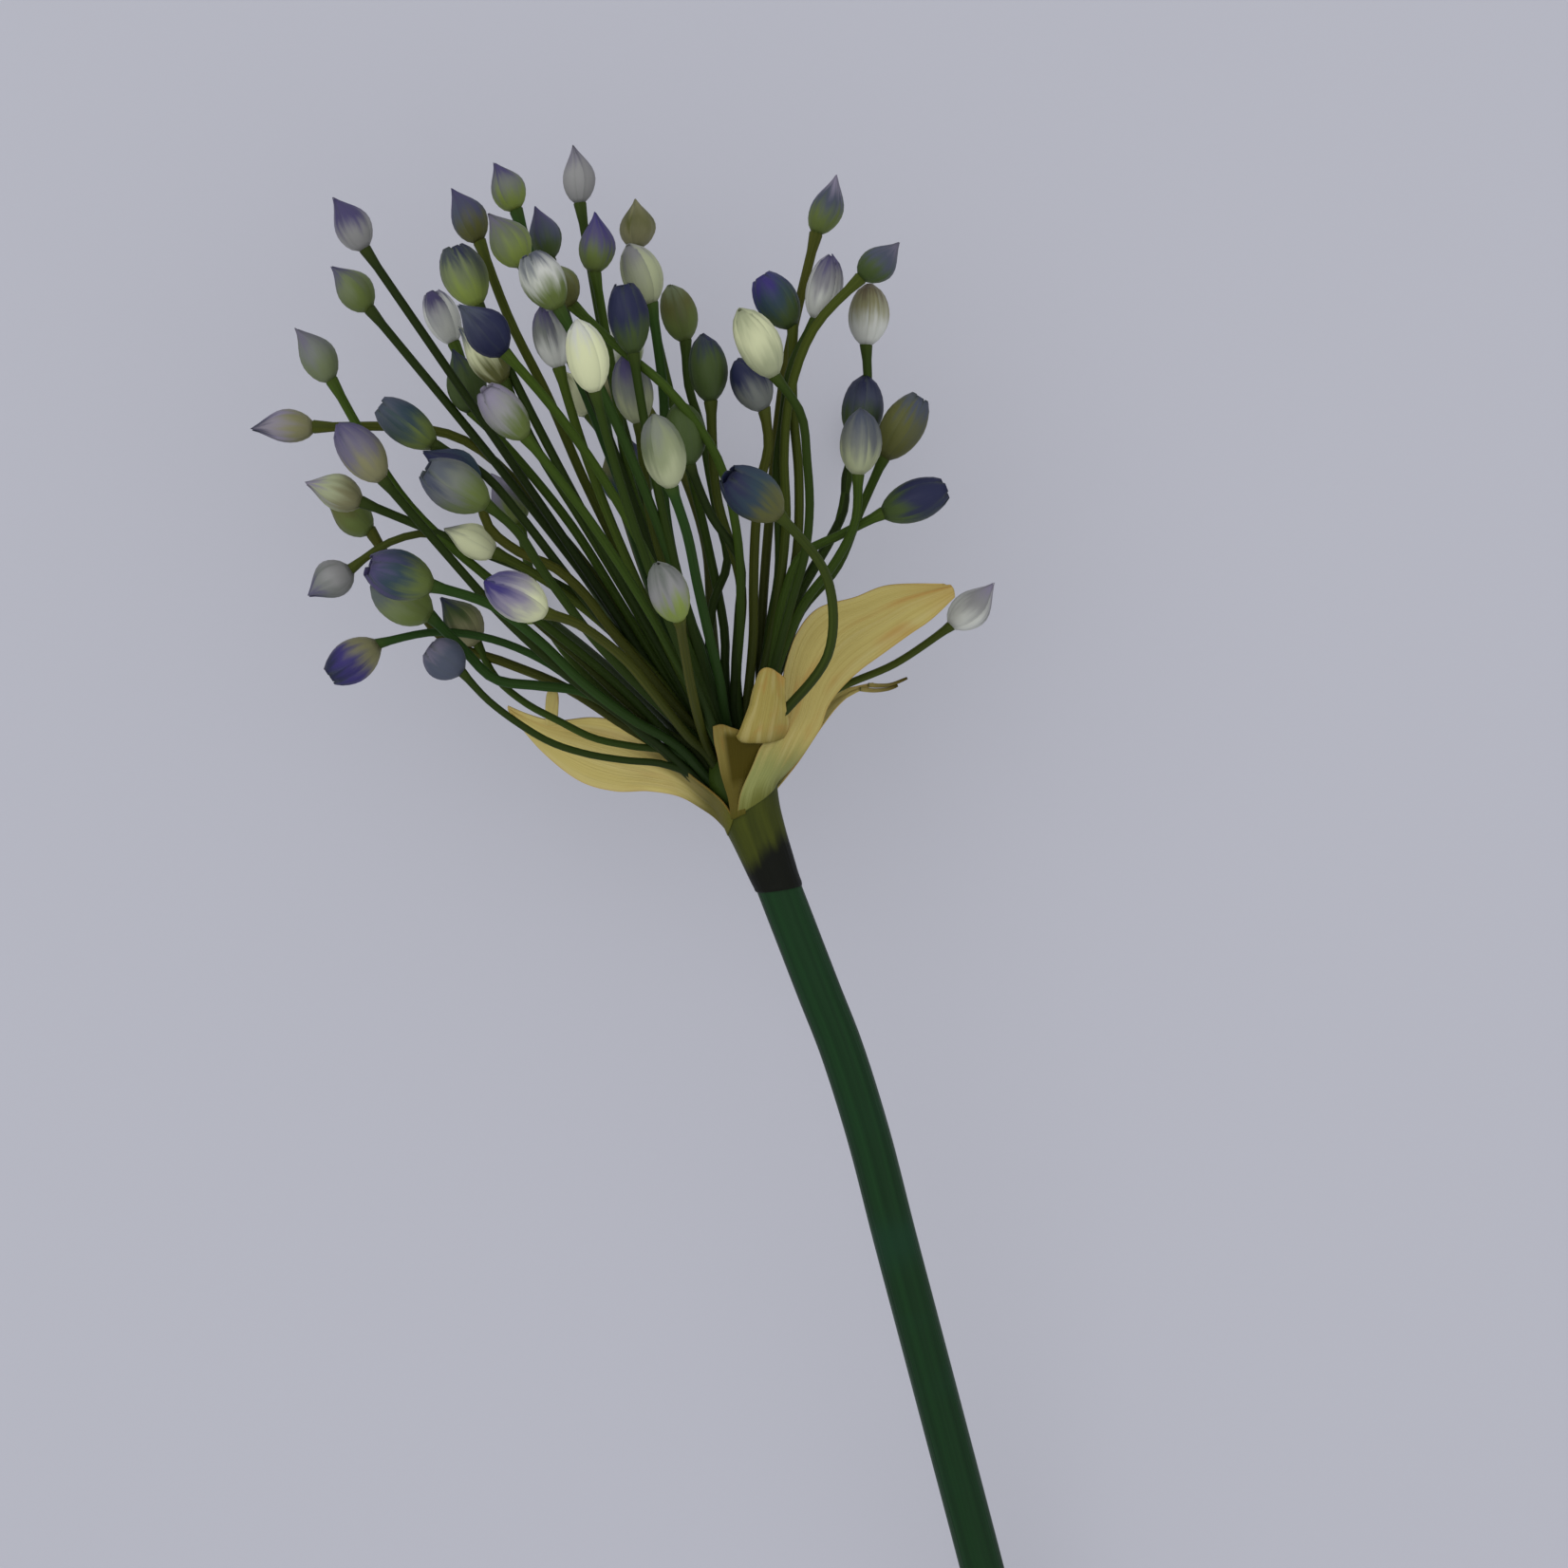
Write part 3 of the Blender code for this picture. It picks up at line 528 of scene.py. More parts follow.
def bract_paper(name, brown, green, foot_colour, straws):
    """Veined paper. Brown is the strength of its patches, green how far its foot colour goes."""
    material, tree, surface = new_material(name, 0.62, 0.1)
    veins = add_fibres(tree, 52.0, 1.2, 5.0)
    veined = ramp(tree, veins.outputs["Streak"], 0.0, 1.0, 0.35, 0.8)
    straw = blend_colours(tree, veined, *straws)
    broad = add_fibres(tree, 8.0, 1.1, 3.2)
    pale = ramp(tree, broad.outputs["Streak"], 0.45, 1.0, 0.0, 0.3)
    patch = ramp(tree, broad.outputs["Blotch"], 0.5, 1.0, 0.0, brown)
    fray = ramp(tree, broad.outputs["Streak"], 0.0, 1.0, -0.03, 0.03)
    height = calculate(tree, "ADD", split_place(tree)["Z"], fray)
    foot = ramp(tree, height, 0.35 * green, green, 0.92, 0.0)
    clasp = ramp(tree, height, 0.0, 0.13, 0.75, 0.0)
    rim = ramp(tree, read_number(tree, "tone"), 0.9, 1.0, 0.0, 0.3)
    # Painted shade: the blade's share number blends in dark olive brown where stalks and folds
    # shade it.
    inside = read_number(tree, "share")
    for share, colour in ((pale, STRAW_PALE), (patch, BROWN), (foot, foot_colour),
                          (clasp, CLASP_OLIVE), (rim, BROWN), (inside, PAINTED_FOLD_SHADE)):
        straw = blend_colours(tree, share, straw, colour)
    tree.links.new(straw, surface.inputs["Base Color"])
    bump_from(tree, veins.outputs["Streak"], surface, 0.4, 0.15)
    return material


def draw_blade(bm, ribs, across, along, waves, seed, aged=0.0, inside=0.0, painted_shade_from=0.12,
               painted_shade_to=0.99, painted_shade_least=0.0):
    """Thin waved blade over ribs. Its painted shade, dark olive brown where stalks and folds shade
    it, begins at a share of its width and ends at a share of its length, and can lie thinly over
    all of it. Its points keep their place on it and how near they are to its rim."""
    fibre = bm.verts.layers.float_vector["fibre"]
    share = bm.verts.layers.float["share"]
    tone = bm.verts.layers.float["tone"]
    verts = bmesh.ops.create_grid(bm, x_segments=across, y_segments=along, size=0.5)["verts"]
    for vert in verts:
        u = vert.co.x + 0.5
        v = vert.co.y + 0.5
        row = [spline(line, v) for line in ribs]
        spot = spline(row, u)
        ahead = (spline([spline(line, min(v + 0.01, 1.0)) for line in ribs], u)
                 - spline([spline(line, max(v - 0.01, 0.0)) for line in ribs], u))
        aside = spline(row, min(u + 0.01, 1.0)) - spline(row, max(u - 0.01, 0.0))
        normal = ahead.cross(aside)
        normal = normal.normalized() if normal.length > 1e-6 else Vector((0, 0, 1))
        edge = abs(2.0 * u - 1.0)
        sway = math.sin(v * SWAY_RATE + seed) * edge ** 2 * (1.0 if u > 0.5 else -0.8)
        pleat = (PLEAT * math.sin(u * PLEAT_RATE + seed * 2.0 + v * 2.0)
                 + RIPPLE * math.sin(v * RIPPLE_RATE + u * 4.0) * edge)
        lift = waves * (sway + pleat) * min(1.0, v * 3.0)
        vert.co = (CROWN + spot + normal * lift) * MM
        vert[fibre] = (u + seed, seed, v + aged)
        vert[tone] = max(edge, v)
        # Painted shade, from a share of the width and up to a share of the length, and at least the
        # given least amount all over.
        shaded = max(0.0, min(1.0, v * 4.0 - 0.6)) * max(0.0, min(1.0, (painted_shade_to - v) * 8.0))
        vert[share] = max(painted_shade_least, inside * shaded * max(0.0, min(1.0, (u - painted_shade_from) * 3.5)))


def finished_blade(name, bm, material):
    blade = finished(name, bm, material, crease=SMOOTH)
    paper = blade.modifiers.new("paper", "SOLIDIFY")
    paper.thickness = PAPER_THICK * MM
    paper.offset = 0.0
    return blade


bm = new_plant_mesh()
# The left blade, with painted shade of the stalks on its upper side near its foot.
draw_blade(bm, (
    rib(-7.6, 205, (-2.8, -5.6, -1.8), (-5.1, -4.1, -2.7), (-8.6, -2.3, -4.0), (-12.7, -1.7, -5.4),
        (-17.7, -1.7, -6.5), (-23.0, -0.1, -7.6), (-28.7, 4.5, -9.0), (-33.3, 10.2, -10.1)),
    rib(-7.4, 186, (-2.7, -4.7, -0.7), (-5.0, -2.9, -1.9), (-8.4, -0.6, -3.7), (-12.6, 0.4, -5.6),
        (-17.6, 1.2, -6.9), (-22.8, 3.0, -8.0), (-28.6, 6.3, -9.2), (-33.3, 10.3, -10.15)),
    rib(-7.0, 164, (-2.7, -4.3, 0.7), (-4.9, -2.3, -0.3), (-8.2, 0.4, -2.7), (-12.3, 2.4, -5.6),
        (-17.2, 4.1, -7.0), (-22.6, 5.7, -8.2), (-28.4, 7.5, -9.2), (-33.4, 10.5, -10.15)),
    rib(-6.2, 142, (-2.4, -3.8, 2.4), (-4.6, -1.7, 1.6), (-7.7, 0.9, -0.6), (-11.4, 3.7, -4.2),
        (-16.4, 6.6, -6.4), (-22.2, 8.0, -7.8), (-28.2, 8.4, -8.8), (-33.4, 10.7, -10.1)),
    rib(-4.8, 122, (-1.7, -3.3, 4.1), (-4.2, -0.8, 2.9), (-6.8, 1.4, 0.8), (-9.8, 4.2, -2.2),
        (-14.4, 7.8, -4.8), (-20.6, 9.2, -6.6), (-27.2, 9.0, -8.0), (-33.4, 10.9, -10.0)),
), across=36, along=88, waves=0.3, seed=1.3, inside=0.75, painted_shade_from=0.4, painted_shade_to=0.62)
draw_blade(bm, (
    seen_line((-27.8, 8.0, -8.2), (-27.9, 10.4, -6.9), (-27.7, 12.6, -6.2), (-27.2, 14.2, -6.0)),
    seen_line((-26.2, 8.2, -8.0), (-26.0, 10.4, -6.6), (-26.0, 12.5, -6.1), (-26.5, 14.0, -6.2)),
), across=6, along=20, waves=0.1, seed=4.1, aged=0.5)
# The left blade's paper: its olive foot is partly painted shade of the stalks, and its lighter
# straw is painted light against the head's shade.
paper = bract_paper("straw paper left", 0.2, 0.5, BRACT_OLIVE_AND_SHADE, STRAW_PAINTED_LIT)
bract = finished_blade("bract_lower_left", bm, paper)
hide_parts("bract_left")

bm = new_plant_mesh()
draw_blade(bm, (
    rib(-4.7, 115, (0.9, -1.9, 5.6), (2.6, 2.0, 6.0), (3.8, 4.8, 5.4), (5.3, 6.9, 4.0),
        (6.7, 9.3, 2.6), (7.0, 13.0, 2.0), (7.4, 16.6, 2.0), (9.2, 21.7, 2.6), (12.3, 25.3, 3.6),
        (17.7, 26.9, 4.6), (22.7, 28.7, 5.4), (30.6, 28.9, 6.6)),
    rib(-4.2, 85, (2.9, -1.3, 5.4), (4.2, 1.6, 5.4), (5.3, 4.2, 4.6), (6.7, 6.6, 3.4),
        (8.1, 9.2, 2.4), (8.7, 13.0, 1.8), (9.4, 16.6, 1.9), (11.2, 20.9, 2.4), (14.2, 23.9, 3.4),
        (19.0, 25.8, 4.4), (23.8, 27.6, 5.2), (31.4, 28.8, 6.5)),
    rib(-3.7, 58, (4.8, -0.6, 4.6), (6.0, 1.8, 4.2), (7.1, 4.1, 3.4), (8.3, 6.6, 2.4),
        (9.6, 9.2, 1.7), (10.6, 12.8, 1.3), (11.7, 16.0, 1.5), (13.9, 19.6, 2.1), (16.8, 22.3, 3.0),
        (21.2, 24.6, 4.1), (25.4, 26.6, 5.0), (32.0, 28.6, 6.4)),
    rib(-3.1, 32, (6.1, 0.1, 3.0), (7.4, 2.0, 2.6), (8.7, 4.1, 1.8), (9.9, 6.4, 1.2),
        (11.2, 9.0, 0.9), (12.3, 12.1, 0.7), (13.8, 15.4, 1.1), (16.2, 18.3, 1.8),
        (19.2, 20.6, 2.8), (23.3, 23.2, 3.9), (26.6, 25.2, 4.9), (32.4, 28.0, 6.3)),
    rib(-2.6, -10, (7.2, 0.6, 0.4), (8.6, 2.1, 0.2), (9.9, 3.7, 0.0), (11.4, 5.8, -0.1),
        (12.8, 7.9, 0.0), (13.8, 10.7, 0.2), (15.5, 13.2, 0.7), (18.5, 16.1, 1.5),
        (21.9, 18.6, 2.5), (25.9, 21.5, 3.6), (29.1, 23.7, 4.7), (32.5, 26.9, 6.0)),
), across=40, along=96, waves=0.2, seed=2.2)
paper = bract_paper("straw paper right", 0.5, 0.36, BRACT_GREEN, STRAW)
bract = finished_blade("bract_upper_right", bm, paper)
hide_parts("bract_right")

bm = new_plant_mesh()
# The lobe tucked under the flap, painted dark all over as shade and darkest in its fold.
draw_blade(bm, (
    rib(-4.9, 128, (-0.9, -3.0, 5.2), (-1.5, -0.9, 5.9), (-2.1, 1.2, 6.6), (-2.5, 3.3, 7.3),
        (-3.0, 5.6, 7.9), (-3.2, 7.9, 8.2)),
    rib(-5.0, 120, (-0.2, -3.0, 5.2), (-0.5, -0.8, 5.8), (-0.8, 1.4, 6.3), (-1.2, 3.7, 6.8),
        (-1.5, 6.0, 7.4), (-1.9, 8.2, 7.9)),
    rib(-4.9, 112, (0.6, -2.7, 5.0), (0.7, -0.5, 5.4), (0.7, 1.7, 5.8), (0.6, 3.9, 6.2),
        (0.4, 6.0, 6.8), (-0.3, 7.7, 7.3)),
    rib(-4.8, 98, (1.6, -2.4, 4.8), (2.4, -0.2, 4.9), (3.2, 2.0, 5.0), (3.8, 4.2, 5.1),
        (3.6, 6.2, 5.6), (1.2, 7.2, 6.6)),
), across=28, along=40, waves=0.06, seed=0.4, inside=1.0, painted_shade_least=0.5)
draw_blade(bm, (
    seen_line((0.0, 6.5, 6.6), (0.5, 6.8, 7.4), (1.3, 8.5, 8.2), (2.1, 10.8, 8.8), (2.7, 13.2, 9.1),
        (3.6, 15.6, 9.5)),
    seen_line((1.2, 5.6, 6.6), (1.4, 6.0, 7.6), (2.0, 8.3, 8.8), (2.9, 10.9, 9.4), (3.6, 13.8, 9.8),
        (4.3, 16.5, 10.0)),
    seen_line((3.4, 5.5, 6.2), (3.4, 5.9, 7.2), (3.8, 8.2, 8.4), (4.4, 11.0, 9.1), (4.9, 13.8, 9.5),
        (5.3, 16.5, 9.8)),
    seen_line((5.4, 5.6, 4.8), (5.6, 6.4, 5.6), (6.0, 8.4, 7.0), (6.4, 10.8, 7.8), (6.5, 13.2, 8.3),
        (6.3, 15.9, 9.1)),
    seen_line((7.2, 6.2, 3.3), (7.8, 7.4, 3.3), (8.1, 8.8, 4.5), (7.6, 10.2, 6.6), (7.4, 12.4, 7.4),
        (7.5, 15.0, 8.6)),
), across=36, along=44, waves=0.08, seed=3.4, aged=0.35)
paper = bract_paper("straw paper front", 0.4, 0.75, FLAP_OLIVE, STRAW_OLD)
bract = finished_blade("bract_front_flap", bm, paper)
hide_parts("bract_front")

bm = new_plant_mesh()
draw_blade(bm, (
    rib(-5.0, -55, (9.0, 2.2, -7.0), (12.8, 7.8, -9.0), (15.4, 11.0, -10.2), (17.6, 12.9, -10.8),
        (20.6, 14.0, -11.0)),
    rib(-5.0, -80, (6.2, 3.0, -8.4), (10.8, 9.0, -10.4), (14.6, 12.0, -11.0), (17.2, 13.2, -11.1),
        (20.6, 14.1, -11.1)),
    rib(-5.0, -105, (3.6, 1.8, -8.6), (8.2, 8.6, -10.4), (13.4, 12.8, -11.0), (17.0, 13.6, -11.0),
        (20.5, 14.3, -11.1)),
), across=24, along=52, waves=0.2, seed=5.0)
for hair in HAIRS:
    strand = seen_line(*hair)
    places = []
    for step in range(HAIR_RINGS + 1):
        share = step / HAIR_RINGS
        ahead = spline(strand, min(share + 0.02, 1.0)) - spline(strand, max(share - 0.02, 0.0))
        ahead.normalize()
        radius = HAIR_RADIUS - HAIR_TAPER * share
        places.append(ring_place(spline(strand, share), ahead, upright(ahead), radius))
    draw_out(bm, HAIR_SIDES, places, 0.0)
paper = bract_paper("straw paper back", 0.3, 0.2, BRACT_GREEN, STRAW)
bract = finished_blade("bract_behind", bm, paper)
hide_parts("bract_back")


# The stalks. Over sixty slender green stalks leave the fleshy cushion on the neck and
# fan out, each bent a little and widened under its bud. Some are olive or browned, and
# the thin ones low on both sides are the youngest.
CORE_PROFILE = ((-4.9, 3.6), (-3.4, 4.2), (-1.2, 4.6), (1.4, 4.3), (3.4, 3.0), (4.5, 1.0))
CORE_SIDES = 32
CORE_RINGS = 20
STALK = 0.68
THIN = 0.55
STALK_ROOT = 2.2
ROOT_HEIGHT = -4.6
ROOT_SPREAD = 3.5
ROOT_REACH = 20.0
FAN_OUT = 0.6
BEND_AFTER_ROOT = 0.38
BEND_BEFORE_BUD = 0.33
ROUTE_RISE = 1.3
FINE_STEPS = 160
STALK_SIDES = 12
STALK_RINGS = 32
STALK_WAVE = 0.25
WAVE_RATE = 9.0
WAVE_SHIFT = 20.0
THINNEST = 0.94
THICKNESS_RANGE = 0.14
# Swellings: how much wider, and over what length that fades.
ROOT_SWELL = (0.15, 5.0)
BUD_SWELL = (0.45, 1.1)
SEAT_DEPTH = 0.05
SEAT_WIDTH = 1.1
BUD_LEAN = 0.5
STALK_DARK = linear(32, 44, 14)
STALK_GREEN = linear(62, 84, 24)
STALK_OLIVE = linear(72, 74, 22)
STALK_BLUE = linear(40, 70, 26)
STALK_SHADE = linear(22, 34, 12)
STALK_PALE = linear(74, 84, 34)

# Bud outlines: share of the length, share of half the width.
POINTED = (
    (0.00, 0.28), (0.05, 0.50), (0.12, 0.72), (0.25, 0.92), (0.40, 1.00), (0.55, 0.90),
    (0.70, 0.62), (0.85, 0.27), (1.00, 0.03),
)
ROUND = (
    (0.00, 0.28), (0.05, 0.48), (0.12, 0.67), (0.25, 0.89), (0.42, 1.00), (0.58, 0.97),
    (0.74, 0.83), (0.88, 0.56), (1.00, 0.10),
)
BLUNT = (
    (0.00, 0.28), (0.05, 0.46), (0.12, 0.64), (0.25, 0.85), (0.42, 0.98), (0.58, 1.00),
    (0.74, 0.90), (0.88, 0.70), (1.00, 0.40),
)
HOOK = {POINTED: 0.09, ROUND: 0.04, BLUNT: 0.0}

# Each bud: place of its foot seen from above, height, heading in degrees, length seen,
# width, outline, its stalk's radius and its colours from foot to tip. The outer left buds
# come first.
BUDS = (
    (-54.5, 78.3, 4, 122, 9.0, 5.5, POINTED, STALK, "grey violet violet"),
    (-53.8, 69.4, -6, 132, 8.7, 5.3, POINTED, STALK, "green sage violet"),
    (-59.4, 58.9, 2, 125, 9.5, 5.3, POINTED, STALK, "sage stone mauve"),
    (-62.0, 52.1, -9, 182, 9.6, 4.9, POINTED, STALK, "khaki lilac navy"),
    (-51.9, 44.3, 14, 129, 10.5, 6.2, ROUND, STALK, "khaki mauve violet"),
    (-44.3, 49.4, 8, 143, 10.2, 5.8, BLUNT, STALK, "green teal slate"),
    (-36.5, 40.6, 24, 150, 10.4, 7.0, BLUNT, STALK, "green stone slate"),
    (-37.7, 43.0, 10, 147, 10.0, 6.0, POINTED, STALK, "teal navy navy"),
    (-55.0, 41.0, 2, 161, 8.9, 5.3, POINTED, STALK, "khaki pale lilac"),
    (-53.6, 36.6, -8, 145, 8.5, 5.2, POINTED, STALK, "green olive olive"),
    # upper left
    (-37.6, 79.4, -4, 118, 9.0, 5.3, POINTED, STALK, "olive slate violet"),
    (-37.8, 70.1, 6, 115, 9.5, 6.6, BLUNT, STALK, "lime sage navy"),
    (-33.9, 63.0, 20, 134, 9.7, 6.4, POINTED, STALK, "navy navy slate"),
    (-41.4, 64.4, -14, 114, 8.5, 5.2, BLUNT, STALK, "white white violet"),
    (-38.6, 54.2, -4, 108, 10.0, 6.0, POINTED, STALK, "leaf leaf navy"),
    (-32.2, 84.0, -10, 115, 8.0, 5.2, POINTED, STALK, "lime stone violet"),
    (-31.2, 75.9, 10, 124, 9.2, 6.0, POINTED, STALK, "lime sage mauve"),
    (-27.2, 76.7, -16, 106, 8.5, 4.8, POINTED, STALK, "leaf slate violet"),
    (-25.9, 69.6, 20, 119, 9.0, 6.2, BLUNT, STALK, "green white slate"),
    (-23.9, 70.0, 12, 125, 8.0, 5.5, POINTED, STALK, "olive sage khaki"),
    (-22.8, 85.0, 0, 97, 8.8, 4.8, POINTED, STALK, "grey grey mauve"),
    # top and middle
    (-20.6, 74.8, 8, 90, 9.0, 5.3, POINTED, STALK, "green violet purple"),
    (-14.4, 78.4, -12, 92, 7.5, 5.3, POINTED, STALK, "khaki olive khaki"),
    (-12.2, 70.2, 2, 111, 9.6, 5.9, ROUND, STALK, "pale pale grey"),
    (-14.9, 62.9, 18, 98, 10.3, 5.9, BLUNT, STALK, "leaf navy navy"),
    (-20.6, 57.3, 32, 104, 10.6, 6.0, ROUND, STALK, "cream cream white"),
    (-25.9, 60.8, 10, 105, 9.5, 5.5, ROUND, STALK, "white stone violet"),
    (-21.3, 53.9, -12, 123, 8.0, 5.0, POINTED, STALK, "cream cream olive"),
    (-19.3, 54.2, -22, 100, 8.0, 5.0, POINTED, STALK, "olive khaki brown"),
    (-14.0, 52.6, 12, 103, 10.3, 5.9, ROUND, STALK, "pale stone violet"),
    (-30.8, 50.5, 28, 130, 9.3, 5.8, BLUNT, STALK, "green grey lilac"),
    (-7.2, 64.7, -8, 106, 8.9, 5.4, ROUND, STALK, "green olive sage"),
    (-3.5, 55.8, 6, 97, 10.1, 5.7, ROUND, STALK, "leaf leaf navy"),
    (-9.3, 43.2, 34, 104, 10.7, 6.2, ROUND, STALK, "pale sage stone"),
    (-6.6, 46.5, 14, 100, 9.5, 5.8, ROUND, STALK, "leaf leaf leaf"),
    (-8.1, 23.5, 30, 112, 9.0, 5.6, ROUND, STALK, "lime grey stone"),
    (6.7, 39.0, 30, 142, 9.6, 7.0, BLUNT, STALK, "olive teal navy"),
    # upper right
    (8.6, 66.8, 2, 122, 9.0, 6.3, BLUNT, STALK, "leaf teal purple"),
    (5.9, 59.6, 22, 118, 11.0, 6.3, ROUND, STALK, "pale cream pale"),
    (4.4, 54.6, 8, 119, 8.6, 5.7, ROUND, STALK, "stone navy navy"),
    (12.0, 80.5, -6, 71, 9.5, 4.9, POINTED, STALK, "green slate lilac"),
    (12.0, 67.9, 4, 77, 10.0, 5.3, ROUND, STALK, "white grey violet"),
    (18.6, 74.0, 8, 43, 7.8, 5.2, POINTED, STALK, "leaf slate mauve"),
    (19.4, 64.1, -5, 87, 9.4, 6.0, ROUND, STALK, "white khaki brown"),
    (18.3, 50.0, -4, 84, 10.0, 6.2, ROUND, STALK, "leaf slate navy"),
    (18.2, 45.0, 8, 87, 9.8, 6.0, ROUND, STALK, "pale stone slate"),
    (22.0, 47.5, 0, 59, 10.6, 6.3, BLUNT, STALK, "olive olive slate"),
    (21.8, 39.3, 5, 22, 10.3, 6.0, BLUNT, STALK, "leaf navy navy"),
    (31.9, 22.7, -6, 45, 9.2, 5.6, POINTED, THIN, "white grey lilac"),
    # lower left, on thin stalks
    (-56.6, 31.1, -4, 212, 7.6, 5.7, POINTED, THIN, "grey stone violet"),
    (-44.6, 28.6, 18, 162, 9.8, 7.2, BLUNT, STALK, "green teal violet"),
    (-44.8, 24.1, 4, 152, 10.0, 7.0, ROUND, STALK, "green sage slate"),
    (-52.6, 20.1, -2, 214, 8.8, 6.2, BLUNT, THIN, "khaki purple navy"),
    (-27.9, 24.6, 30, 152, 9.8, 6.6, ROUND, STALK, "cream lilac purple"),
    (-37.9, 20.1, -4, 129, 9.0, 5.8, POINTED, THIN, "khaki leaf navy"),
    (-40.2, 15.9, 8, 143, 6.2, 6.2, BLUNT, THIN, "slate slate mauve"),
    (-35.3, 33.5, 2, 155, 8.5, 5.0, POINTED, STALK, "cream cream stone"),
    (-31.6, 37.7, -20, 120, 9.0, 5.6, POINTED, STALK, "green mauve lilac"),
    # inner buds half hidden by the others
    (-16.6, 40.9, -20, 106, 8.6, 4.8, POINTED, STALK, "teal olive olive"),
    (-13.5, 42.0, -30, 104, 9.0, 5.6, POINTED, STALK, "leaf slate navy"),
    (-33.9, 58.7, 6, 130, 10.6, 5.6, POINTED, STALK, "olive cream slate"),
)

# Buds on the underside that carry the head: place of the foot seen from above, heading,
# length, width and colours. They follow the others in the list.
RESTING_BUDS = (
    (-37.5, 41.8, 148, 9.0, 6.0, "green grey violet"),
    (18.0, 47.6, 82, 9.0, 6.0, "leaf slate navy"),
    (-16.0, 60.0, 100, 9.0, 6.0, "green white lilac"),
    (-28.0, 24.2, 152, 8.6, 5.8, "lime green lilac"),
    (6.4, 39.2, 142, 8.6, 5.8, "green lilac violet"),
)

